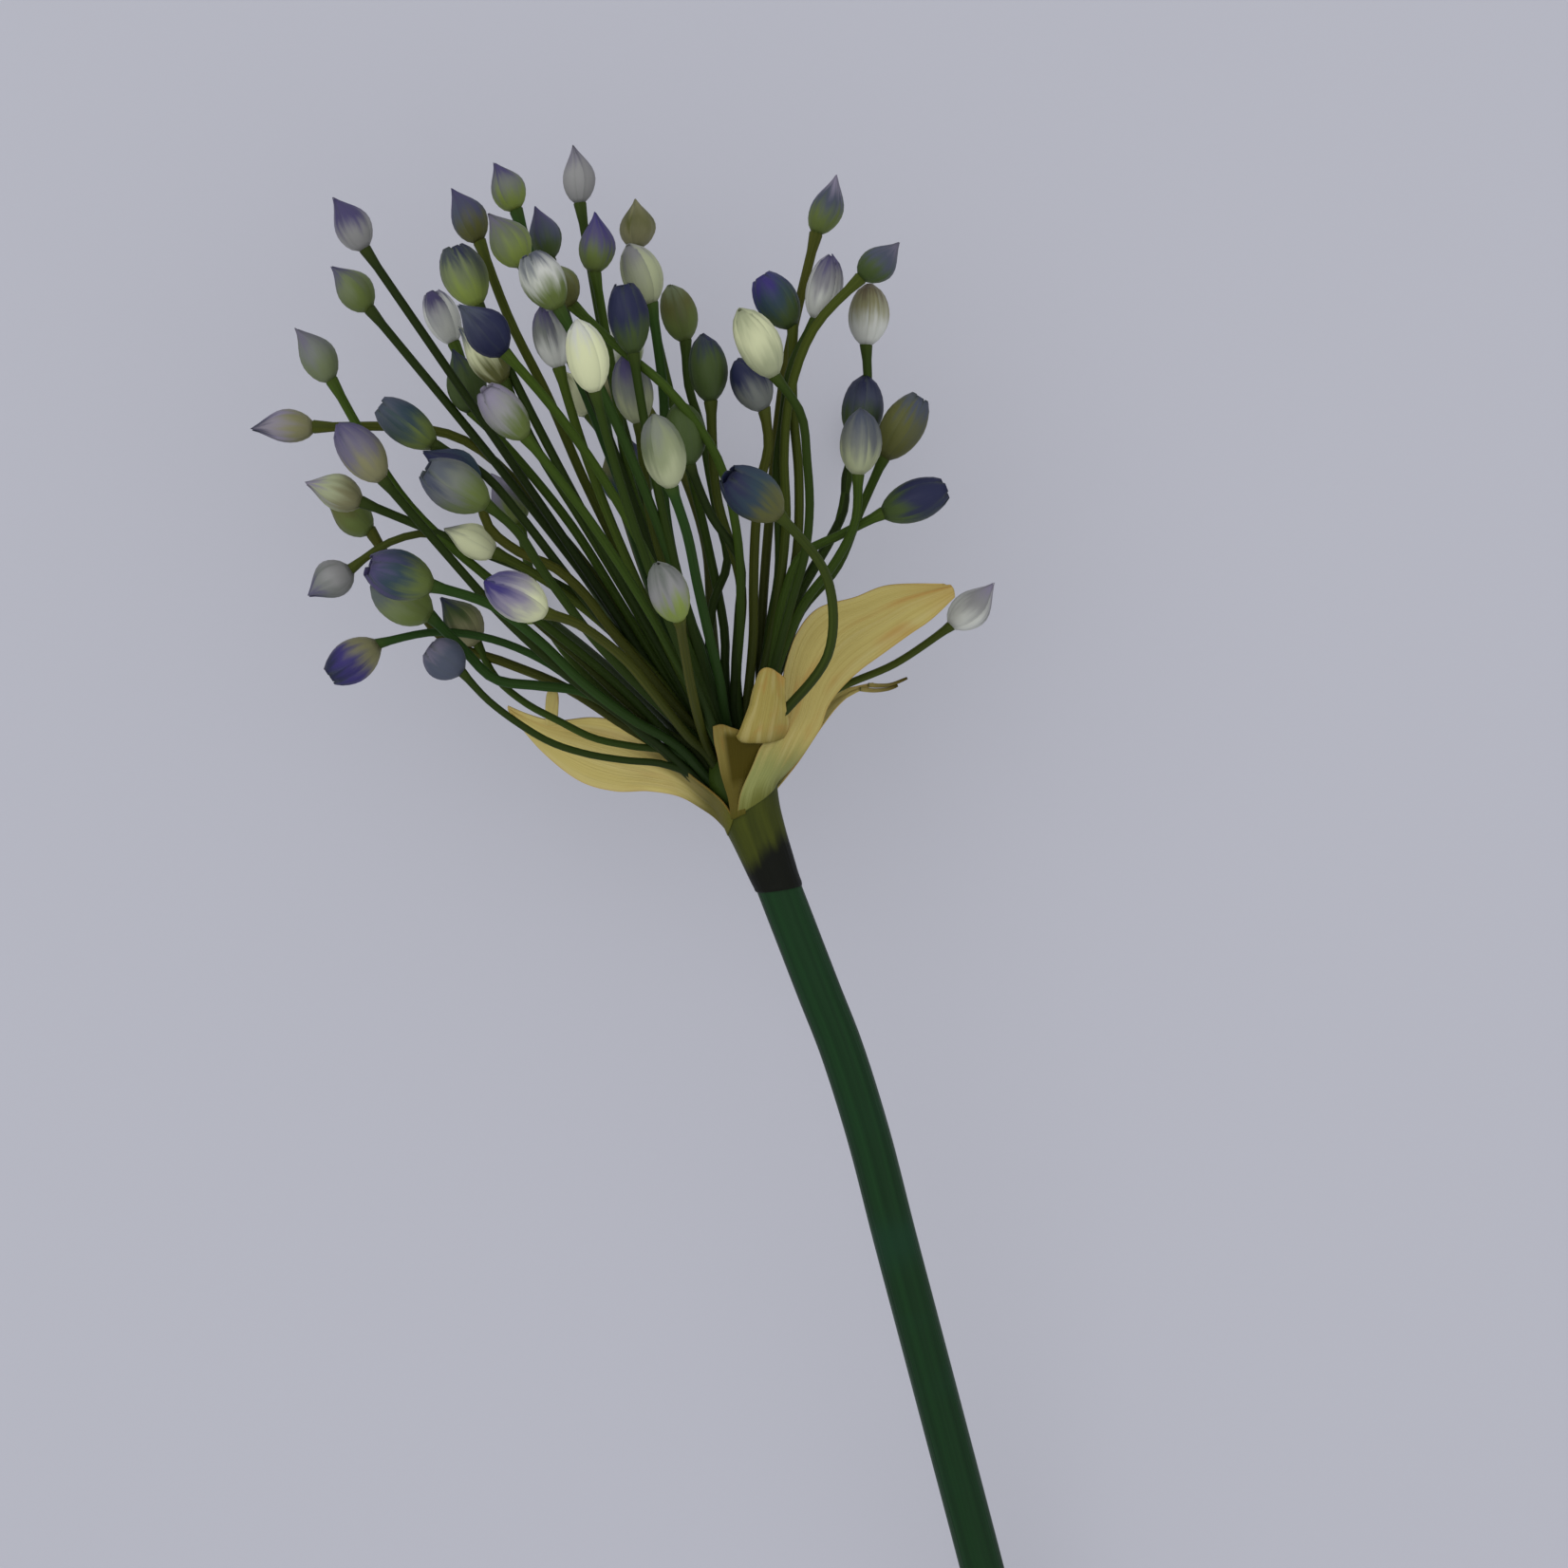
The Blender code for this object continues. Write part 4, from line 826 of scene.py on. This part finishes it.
# Ways of the stalks that don't just fan out, by the number of their bud in the list: points
# that they pass, seen from above, from the crown out, some with a height.
ROUTES = {
    0: ((-18.5, 25.8), (-36.5, 52.1)),
    1: ((-17.3, 23.5), (-35.2, 46.7)),
    2: ((-16.3, 13.2), (-32.6, 26.7), (-48.3, 40.9)),
    3: ((-12.3, 17.8), (-25, 35.4), (-40.5, 50.4)),
    4: ((-12.2, 6), (-23.3, 14.3), (-33.6, 23.5), (-42.9, 33.8)),
    5: ((-5.1, 6.5), (-10.5, 12.9), (-16, 19.3), (-21.3, 25.7), (-26.5, 32.4), (-31.6, 39),
        (-37.2, 45.3)),
    6: ((-4.1, 4.3), (-8.5, 8.5), (-13, 12.7), (-17.3, 17), (-21.4, 21.6), (-25.1, 26.5),
        (-28.7, 31.5), (-32, 36.6)),
    7: ((-3.4, 4.7), (-7.2, 9.2), (-11, 13.7), (-14.8, 18.2), (-18.6, 22.7), (-22.1, 27.4),
        (-26.5, 31.3), (-31.9, 33.7), (-36.3, 37.4)),
    8: ((-11.1, 13.6), (-22.8, 26.8), (-38.7, 34.2)),
    9: ((-8.8, 3.2), (-16.8, 8.4), (-24.9, 13.6), (-33.8, 17.3), (-42.8, 20.7), (-48.5, 28.5)),
    10: ((-5.5, 11.3), (-11.3, 22.4), (-17, 33.6), (-22.5, 44.9), (-27.5, 56.5), (-33.1, 67.7)),
    14: ((-4.7, 6.9), (-9.6, 14.3), (-16.4, 25.4), (-23.9, 37.3), (-32.2, 47.6)),
    15: ((-5.2, 14.1), (-10.8, 28), (-16.2, 42), (-21.6, 56), (-27.5, 69.8)),
    16: ((-6.9, 19.4), (-14.1, 38.7), (-21.6, 57.8)),
    19: ((0.4, 12, 2), (0.9, 24, 6), (0.4, 36, 11), (-2.6, 47.6, 15), (-9.6, 57.4, 17),
        (-17.4, 64, 15)),
    20: ((-8.9, 28), (-17.4, 56.2)),
    21: ((-4.7, 14.9), (-9.8, 29.6), (-15.4, 44.1), (-17.9, 59.5)),
    22: ((-1.1, 12.8), (-1.5, 22.2), (-3.7, 33.5), (-6.3, 44.6), (-10.6, 61.5)),
    23: ((-3, 14.1), (-7.8, 27.6), (-10.4, 41.6), (-10.4, 56)),
    29: ((-3.7, 13.2), (-8.5, 26), (-12.4, 39.1)),
    31: ((-0.8, 6.7), (-2.1, 13.3), (-3.7, 19.8), (-3.1, 26.2), (-1, 32.2), (-2.4, 38.7),
        (-3.7, 45.3), (-4.9, 51.9), (-6.8, 58.2)),
    32: ((0.3, 14.2), (1, 28.3), (-2.6, 41.8)),
    33: ((-0.9, 7.4), (-2.2, 14.7), (-3.9, 21.9), (-5.5, 29), (-7, 36.3)),
    34: ((0.2, 8.2), (0.1, 16.3), (0.6, 24.3), (0.8, 32.3), (-3.5, 39.1)),
    35: ((-3.2, 3, 2), (-4.9, 7.6, 7), (-6.3, 13, 15), (-7.3, 18.6, 23)),
    36: ((2.9, 4.9, 3.9), (3.6, 6.1, 4.4), (5.1, 7.6, 5.1), (6.9, 9.7, 5.4), (13.9, 18.8),
        (13.6, 30.1)),
    37: ((3.6, 11), (6.6, 21.9), (9.1, 32.9), (9.5, 44.2), (8.6, 55.5)),
    38: ((2.7, 6.7), (4.9, 13.2), (6.7, 19.9), (8.5, 26.6), (10.4, 33.3), (11.1, 40.2),
        (10.7, 47.1), (9.8, 54)),
    39: ((1.1, 5.6), (1.8, 11.1), (2.4, 16.5), (2.8, 22), (2.8, 27.5), (2.9, 33), (3.2, 38.5),
        (3.8, 43.9), (5, 49.3)),
    40: ((3.9, 20.2), (5.3, 40.5), (7.5, 60.7)),
    41: ((2.3, 7.6), (4.1, 15.2), (5.2, 22.8), (6.5, 30.4), (6.5, 38.1), (6.2, 45.9), (7.2, 53.5),
        (8.4, 61.1)),
    42: ((3, 9.6), (5, 19.1), (6.7, 28.8), (7.6, 38.5), (7.3, 48.2), (8.4, 58), (11.9, 66.9)),
    43: ((2.6, 6.5), (4.7, 12.9), (6.6, 19.4), (8.8, 25.8), (12.1, 31.7), (15.3, 37.7),
        (16.7, 44.2), (18.3, 50.8), (19.6, 57.4)),
    44: ((2.2, 5.2), (3.9, 10.3), (5.6, 15.3), (7.1, 20.5), (8.7, 25.6), (11, 30.4), (13.8, 35),
        (16.1, 39.8), (16.5, 45.1)),
    45: ((2.9, 6.7), (5.3, 13.3), (7.5, 19.9), (10.4, 26.3), (14.7, 31.9), (17.8, 38.1)),
    46: ((3.7, 8.3), (6.7, 16.5), (9.7, 24.7), (15.2, 31.5), (18.5, 39.6)),
    47: ((2.5, 6.7), (4.5, 13.2), (5.8, 20), (7.2, 26.7), (9.8, 33), (15.7, 36.2)),
    48: ((7, 7.5), (14.8, 13.2), (23.8, 17.2)),
    49: ((-5.6, 4), (-11.6, 8), (-17.2, 12.5), (-22.4, 17.4), (-27.8, 22.1), (-33.2, 26.9),
        (-38.6, 31.6), (-44.1, 36.2), (-50.8, 35.1)),
    50: ((-7.6, 4.3), (-15.2, 9), (-22.4, 14.4), (-28.9, 20.6), (-36.1, 25.9)),
    51: ((-5.9, 2.3), (-11.7, 5.3), (-16.7, 9.6), (-22.4, 13), (-28.9, 13.9), (-35.4, 14.9),
        (-40.1, 19.4)),
    52: ((-7.9, 1.7), (-14.2, 7.5), (-21.1, 12.5), (-28, 17.5), (-35.9, 20.8), (-44.3, 21.8)),
    53: ((-3.4, 3), (-6.8, 6.4), (-9.8, 10.1), (-12.8, 13.8), (-15.9, 17.5), (-19.5, 20.6),
        (-23.5, 23.2)),
    54: ((-5.3, 0.6), (-9.7, 4.1), (-15.2, 5), (-20.8, 6.2), (-25.9, 8.7), (-30.9, 11.4),
        (-35.2, 15.1)),
    55: ((-5.3, 0), (-10.4, 2.3), (-16, 2.9), (-21.6, 3.8), (-27, 5.5), (-31.8, 8.3),
        (-36.4, 11.8)),
    57: ((-8.4, 5.2), (-16.8, 11.2), (-23.6, 17.2), (-28.8, 25.5)),
    60: ((-4.4, 7.3), (-9.0, 15.2), (-15.6, 26.8), (-22.4, 38.0), (-29.2, 48.9)),
    63: ((-1.9, 12), (-3.4, 24), (-4.4, 35.4), (-8.6, 47.4)),
    64: ((-9.5, 8.1), (-19.3, 17.2)),
    65: ((6.9, 9.7), (13.9, 18.8), (13.6, 30.1)),
}
# The stalks of two resting buds run below others on the same way out.
ROUTES[61] = ROUTES[6]
ROUTES[62] = ROUTES[44]


def pointing(heading, pitch=0.0):
    """Unit vector at a heading (degrees from +X towards +Y) and a pitch above the table."""
    turn = math.radians(heading)
    rise = math.radians(pitch)
    level = math.cos(rise)
    return Vector((math.cos(turn) * level, math.sin(turn) * level, math.sin(rise)))


def bezier(ends, share):
    """Point on a cubic curve given by its start, two handles and end."""
    rest = 1.0 - share
    return (ends[0] * rest ** 3 + ends[1] * 3.0 * rest * rest * share
            + ends[2] * 3.0 * rest * share * share + ends[3] * share ** 3)


def root_place(leave):
    """Where a stalk that leaves the crown in this direction is rooted, on the neck's top."""
    spread = leave - NECK_AXIS * leave.dot(NECK_AXIS)
    return NECK_CENTRE + NECK_AXIS * ROOT_HEIGHT + spread * ROOT_SPREAD


def routed_stalk(foot, route):
    """Fine points along a stalk that passes the places of its route and rises to its bud."""
    stops = [NECK_CENTRE.xy] + [Vector(stop[:2]) for stop in route] + [foot.xy]
    lengths = [0.0]
    for here, there in zip(stops, stops[1:]):
        lengths.append(lengths[-1] + (there - here).length)
    places = []
    for stop, far in zip(route, lengths[1:]):
        rise = (far / lengths[-1]) ** ROUTE_RISE
        places.append(seen(*stop) if len(stop) == 3 else seen(*stop, foot.z * rise))
    places = [root_place((places[0] - NECK_CENTRE).normalized())] + places + [foot]
    return [spline(places, step / FINE_STEPS) for step in range(FINE_STEPS + 1)]


def free_stalk(foot, direction):
    """Fine points along a stalk that leaves the crown outwards and arrives along its bud."""
    reach = (foot - NECK_CENTRE).length
    chord = (foot - NECK_CENTRE) / reach
    mirrored = chord * (2.0 * chord.dot(direction)) - direction
    leave = chord.lerp(mirrored, FAN_OUT).normalized()
    curve = (NECK_CENTRE + leave * STALK_ROOT, NECK_CENTRE + leave * (BEND_AFTER_ROOT * reach),
             foot - direction * (BEND_BEFORE_BUD * reach), foot)
    root = root_place(leave)
    points = []
    for step in range(FINE_STEPS + 1):
        spot = bezier(curve, step / FINE_STEPS)
        near = max(0.0, 1.0 - (spot - curve[0]).length / ROOT_REACH)
        points.append(spot + (root - curve[0]) * near ** 2)
    return points


def add_bud(foot, direction, length, width, outline, radius, colours):
    """Puts down what the drawing of a bud and its stalk needs. Its number gives its route."""
    buds.append({"foot": foot, "direction": direction, "up": upright(direction),
                 "length": length, "width": width, "outline": outline, "radius": radius,
                 "colours": colours.split(), "route": ROUTES.get(len(buds))})


def draw_stalk(bm, bud, tone):
    """One stalk, rooted in the cushion, a little thicker there and flared under its bud."""
    if bud["route"]:
        points = routed_stalk(bud["foot"], bud["route"])
    else:
        points = free_stalk(bud["foot"], bud["direction"])
    lengths = [0.0]
    for here, there in zip(points, points[1:]):
        lengths.append(lengths[-1] + (there - here).length)
    centres = []
    here = 0
    for step in range(STALK_RINGS + 1):
        far = lengths[-1] * step / STALK_RINGS
        while here < len(points) - 2 and lengths[here + 1] < far:
            here += 1
        part = (far - lengths[here]) / max(lengths[here + 1] - lengths[here], 1e-6)
        share = step / STALK_RINGS
        wave = math.sin(WAVE_RATE * share + WAVE_SHIFT * tone)
        lift = STALK_WAVE * math.sin(math.pi * share) * wave
        centres.append(points[here].lerp(points[here + 1], part) + bud["up"] * lift)
    alongs = []
    for step in range(STALK_RINGS + 1):
        ahead = centres[min(step + 1, STALK_RINGS)] - centres[max(step - 1, 0)]
        alongs.append(ahead.normalized())
    alongs[-1] = bud["direction"]
    ups = [bud["up"]]
    for later, earlier in zip(reversed(alongs), reversed(alongs[:-1])):
        ups.insert(0, later.rotation_difference(earlier) @ ups[0])
    places = []
    for centre, along, up in zip(centres, alongs, ups):
        wide = (1.0 + ROOT_SWELL[0] * math.exp(-(centre - centres[0]).length / ROOT_SWELL[1])
                + BUD_SWELL[0] * math.exp(-(centre - bud["foot"]).length / BUD_SWELL[1]))
        radius = bud["radius"] * wide * (THINNEST + THICKNESS_RANGE * tone)
        places.append(ring_place(centre, along, up, radius))
    seat = bud["foot"] + bud["direction"] * (SEAT_DEPTH * bud["length"])
    places.append(ring_place(seat, bud["direction"], bud["up"], bud["radius"] * SEAT_WIDTH))
    draw_out(bm, STALK_SIDES, places, tone)


def stalk_skin():
    material, tree, surface = new_material("stalk green", 0.5, 0.08)
    fibres = add_fibres(tree, 1.8, 0.03, 0.09)
    tone = read_number(tree, "tone")
    green = blend_colours(tree, ramp(tree, tone, 0.0, 0.5), STALK_DARK, STALK_GREEN)
    olive = ramp(tree, tone, 0.5, 0.75)
    bluish = ramp(tree, tone, 0.75, 1.0)
    streaked = ramp(tree, fibres.outputs["Streak"], 0.1, 0.9, 0.0, 0.45)
    along = read_number(tree, "share")
    root = ramp(tree, along, 0.05, 0.60, 0.85, 0.0)
    under_bud = ramp(tree, along, 0.93, 1.0, 0.0, 0.4)
    for share, colour in ((olive, STALK_OLIVE), (bluish, STALK_BLUE), (streaked, STALK_DARK),
                          (root, STALK_SHADE), (under_bud, STALK_PALE)):
        green = blend_colours(tree, share, green, colour)
    tree.links.new(green, surface.inputs["Base Color"])
    fine = add_fibres(tree, 5.0, 0.05, 1.0)
    bump_from(tree, fine.outputs["Streak"], surface, 0.4, 0.08)
    return material


chance = random.Random(31)
buds = []
for x, y, z, heading, length, width, outline, radius, colours in BUDS:
    foot = seen(x, y, z)
    lean = BUD_LEAN * math.degrees(math.asin(z / (foot - NECK_CENTRE).length))
    length /= math.cos(math.radians(lean))
    add_bud(foot, pointing(heading, lean), length, width, outline, radius, colours)
for x, y, heading, length, width, colours in RESTING_BUDS:
    foot = seen(x, y, 0.5 * width - CROWN.z)
    add_bud(foot, pointing(heading), length, width, POINTED, STALK, colours)

bm = new_plant_mesh()
for bud in buds:
    draw_stalk(bm, bud, chance.random())
stalk_green = stalk_skin()
stalks = finished("flower_stalks", bm, stalk_green)
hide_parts("umbel")

bm = new_plant_mesh()
profile = [Vector(pair) for pair in CORE_PROFILE]
places = []
for step in range(CORE_RINGS + 1):
    height, radius = spline(profile, step / CORE_RINGS)
    places.append(ring_place(NECK_CENTRE + NECK_AXIS * height, NECK_AXIS, NECK_FRONT, radius))
draw_out(bm, CORE_SIDES, places, 0.2)
cushion = finished("stalk_cushion", bm, stalk_green)
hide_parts("umbel")


# The buds. Each is closed or just parting: three outer petals wrapped over three inner
# ones, drawn to a point or, on the older buds, ending in a ragged crown of tips. Petals
# run from green at the foot through cream or lilac to blue and violet at the tip.
PETALS = 6
PETAL_THICK = 0.12
PETAL_GRID = (6, 10)
OUTER_HALF_ANGLE = math.radians(64.0)
INNER_HALF_ANGLE = math.radians(42.0)
OUTER_PROUD = 0.06
INNER_PROUD = -0.03
SHORTEST_PETAL = 0.95
SHADE_RANGE = 0.75
SHADE_CONTRAST = 0.16
TIP_FROM = 0.6
POINTED_TIP = 0.35
BLUNT_TIP = 0.55
SNUG = 0.98
EDGE_TUCK = 0.05
KEEL = 0.03
BLUNT_FLARE = 0.3
FLARE_FROM = 0.8
HOOK_FROM = 0.3
HEART_SIDES = 12
HEART_WIDTH = 0.93
HEART_TOP = 0.94
# Painted shade: the inner core, seen between the petals, is darkened as the shade inside the bud.
HEART_PAINTED_SHADE = 0.7
PAINT_LAYERS = ("foot paint", "body paint", "tip paint")
# Petal margins: a greyer green of their own, deepened as painted shade in the seams between petals.
PETAL_EDGE_AND_SEAM_SHADE = linear(70, 80, 66)
PETAL_COLOURS = {
    "green": linear(94, 108, 54), "lime": linear(124, 140, 66), "leaf": linear(62, 78, 38),
    "olive": linear(88, 90, 46), "khaki": linear(128, 126, 92), "cream": linear(204, 208, 168),
    "white": linear(192, 194, 188), "grey": linear(136, 136, 136), "lilac": linear(132, 126, 146),
    "mauve": linear(102, 98, 116), "violet": linear(74, 68, 106), "purple": linear(54, 46, 108),
    "navy": linear(34, 38, 68), "slate": linear(70, 76, 92), "teal": linear(44, 62, 74),
    "brown": linear(80, 70, 50), "sage": linear(104, 114, 82), "stone": linear(108, 112, 108),
    "pale": linear(160, 166, 132),
}


def petal_paints(names, shade):
    """A petal's colours, foot to tip. Light petals lean to the foot's, dark to the tip's."""
    foot, body, tip = (Vector(PETAL_COLOURS[name]) for name in names)
    body = body.lerp(foot, 0.9 * max(0.0, shade - 0.3)).lerp(tip, 0.9 * max(0.0, -0.3 - shade))
    tip = tip.lerp(body, 0.5 * max(0.0, shade))
    return [(*(colour * (1.0 + SHADE_CONTRAST * shade)), 1.0) for colour in (foot, body, tip)]


def hooked(bud, t):
    """How far a bud's middle line strays sideways at a share of its length."""
    hook = Vector((0, 0, 1)).cross(bud["direction"]).normalized()
    bend = (max(0.0, t - HOOK_FROM) / (1.0 - HOOK_FROM)) ** 2 - t
    return hook * (HOOK[bud["outline"]] * bud["length"] * bend)


def draw_petal(bm, bud, turn, half_angle, proud, reach, shade):
    """One petal wrapped on the bud's outline, from its foot to its own tip."""
    place = bm.verts.layers.float_vector["fibre"]
    share = bm.verts.layers.float["share"]
    tone = bm.verts.layers.float["tone"]
    paints = [bm.verts.layers.float_color[layer] for layer in PAINT_LAYERS]
    along = bud["direction"]
    up = bud["up"]
    side = up.cross(along)
    blunt = bud["outline"] is BLUNT
    stations = [pair[0] for pair in bud["outline"]]
    widths = [pair[1] for pair in bud["outline"]]
    grid = bmesh.ops.create_grid(bm, x_segments=PETAL_GRID[0], y_segments=PETAL_GRID[1], size=0.5)
    for vert in grid["verts"]:
        across = 2.0 * vert.co.x
        t = (vert.co.y + 0.5) * reach
        low = next(i for i in range(len(stations) - 1) if t <= stations[i + 1] + 1e-6)
        part = (t - stations[low]) / (stations[low + 1] - stations[low])
        wide = spline(widths, (low + part) / (len(stations) - 1))
        near_tip = max(0.0, (t / reach - TIP_FROM) / (1.0 - TIP_FROM)) ** 2
        narrowing = 1.0 - (BLUNT_TIP if blunt else POINTED_TIP) * near_tip
        angle = turn + across * half_angle * narrowing
        lift = proud * min(1.0, t * 6.0) * min(1.0, (1.03 - t) * 5.0)
        keel = KEEL * bud["width"] * (1.0 - abs(across)) ** 2 * math.sin(math.pi * min(t, 1.0))
        flared = max(0.0, t / reach - FLARE_FROM) ** 1.5 if blunt else 0.0
        radius = (0.5 * bud["width"] * wide * (SNUG - EDGE_TUCK * across ** 2)
                  + lift + keel + BLUNT_FLARE * bud["width"] * flared)
        spot = (bud["foot"] + along * (bud["length"] * t) + hooked(bud, t)
                + (up * math.cos(angle) + side * math.sin(angle)) * radius)
        vert.co = (CROWN + spot) * MM
        vert[place] = (across + turn * 3.0, shade * 9.0, t)
        vert[share] = t
        vert[tone] = abs(across)
        for layer, colour in zip(paints, petal_paints(bud["colours"], shade)):
            vert[layer] = colour


def draw_bud_heart(bm, bud):
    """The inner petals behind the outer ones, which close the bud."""
    places = []
    for share, wide in bud["outline"]:
        t = min(share, HEART_TOP)
        centre = bud["foot"] + bud["direction"] * (bud["length"] * t) + hooked(bud, t)
        shrink = 0.5 if share > HEART_TOP else 1.0
        radius = 0.5 * bud["width"] * max(0.05, wide * HEART_WIDTH - 0.02) * shrink
        places.append(ring_place(centre, bud["direction"], bud["up"], radius))
    known = set(bm.verts)
    draw_out(bm, HEART_SIDES, places, 0.0)
    paints = [bm.verts.layers.float_color[layer] for layer in PAINT_LAYERS]
    # The core takes the bud's colours darkened, painted shade of the hollow inside the bud.
    for vert in bm.verts:
        if vert not in known:
            for layer, name in zip(paints, bud["colours"]):
                vert[layer] = (*[value * HEART_PAINTED_SHADE for value in PETAL_COLOURS[name]], 1.0)


def petal_skin():
    material, tree, surface = new_material("petal skin", 0.5, 0.2)
    fibres = add_fibres(tree, 2.6, 0.7, 1.6)
    along = read_number(tree, "share")
    for outlet, stray in (("Streak", 0.1), ("Blotch", 0.08)):
        along = calculate(tree, "ADD", along,
                          ramp(tree, fibres.outputs[outlet], 0.0, 1.0, -stray, stray))
    paints = []
    for name in PAINT_LAYERS:
        paint = tree.nodes.new("ShaderNodeAttribute")
        paint.attribute_name = name
        paints.append(paint.outputs["Color"])
    colour = blend_colours(tree, ramp(tree, along, 0.18, 0.62), paints[0], paints[1])
    colour = blend_colours(tree, ramp(tree, along, 0.56, 0.94), colour, paints[2])
    # Towards its side edges a petal turns to the margin colour, partly its own greener margin and
    # partly painted shade of the seams.
    edge = ramp(tree, read_number(tree, "tone"), 0.45, 1.0, 0.0, 0.35)
    colour = blend_colours(tree, edge, colour, PETAL_EDGE_AND_SEAM_SHADE)
    tree.links.new(colour, surface.inputs["Base Color"])
    fine = add_fibres(tree, 14.0, 1.4, 6.0)
    gloss = ramp(tree, fine.outputs["Streak"], 0.0, 1.0, 0.42, 0.6)
    tree.links.new(gloss, surface.inputs["Roughness"])
    bump_from(tree, fine.outputs["Streak"], surface, 0.3, 0.08)
    return material


petal_finish = petal_skin()
BUD_GROUPS = (("buds_outer_left", 0, 10), ("buds_upper_left", 10, 21), ("buds_middle", 21, 37),
              ("buds_upper_right", 37, 49), ("buds_lower_left", 49, 58), ("buds_inner", 58, 66))
for name, first, last in BUD_GROUPS:
    bm = new_plant_mesh()
    for layer in PAINT_LAYERS:
        bm.verts.layers.float_color.new(layer)
    for bud in buds[first:last]:
        roll = chance.uniform(0.0, 2.0 * math.pi / 3.0)
        for petal in range(PETALS):
            half_angle = INNER_HALF_ANGLE if petal % 2 else OUTER_HALF_ANGLE
            proud = INNER_PROUD if petal % 2 else OUTER_PROUD
            reach = chance.uniform(SHORTEST_PETAL, 1.0)
            shade = chance.uniform(-SHADE_RANGE, SHADE_RANGE)
            turn = roll + petal * 2.0 * math.pi / PETALS
            draw_petal(bm, bud, turn, half_angle, proud, reach, shade)
        draw_bud_heart(bm, bud)
    group = finished(name, bm, petal_finish, crease=SMOOTH)
    skin = group.modifiers.new("petal", "SOLIDIFY")
    skin.thickness = PETAL_THICK * MM
    skin.offset = -1.0
    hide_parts("umbel")
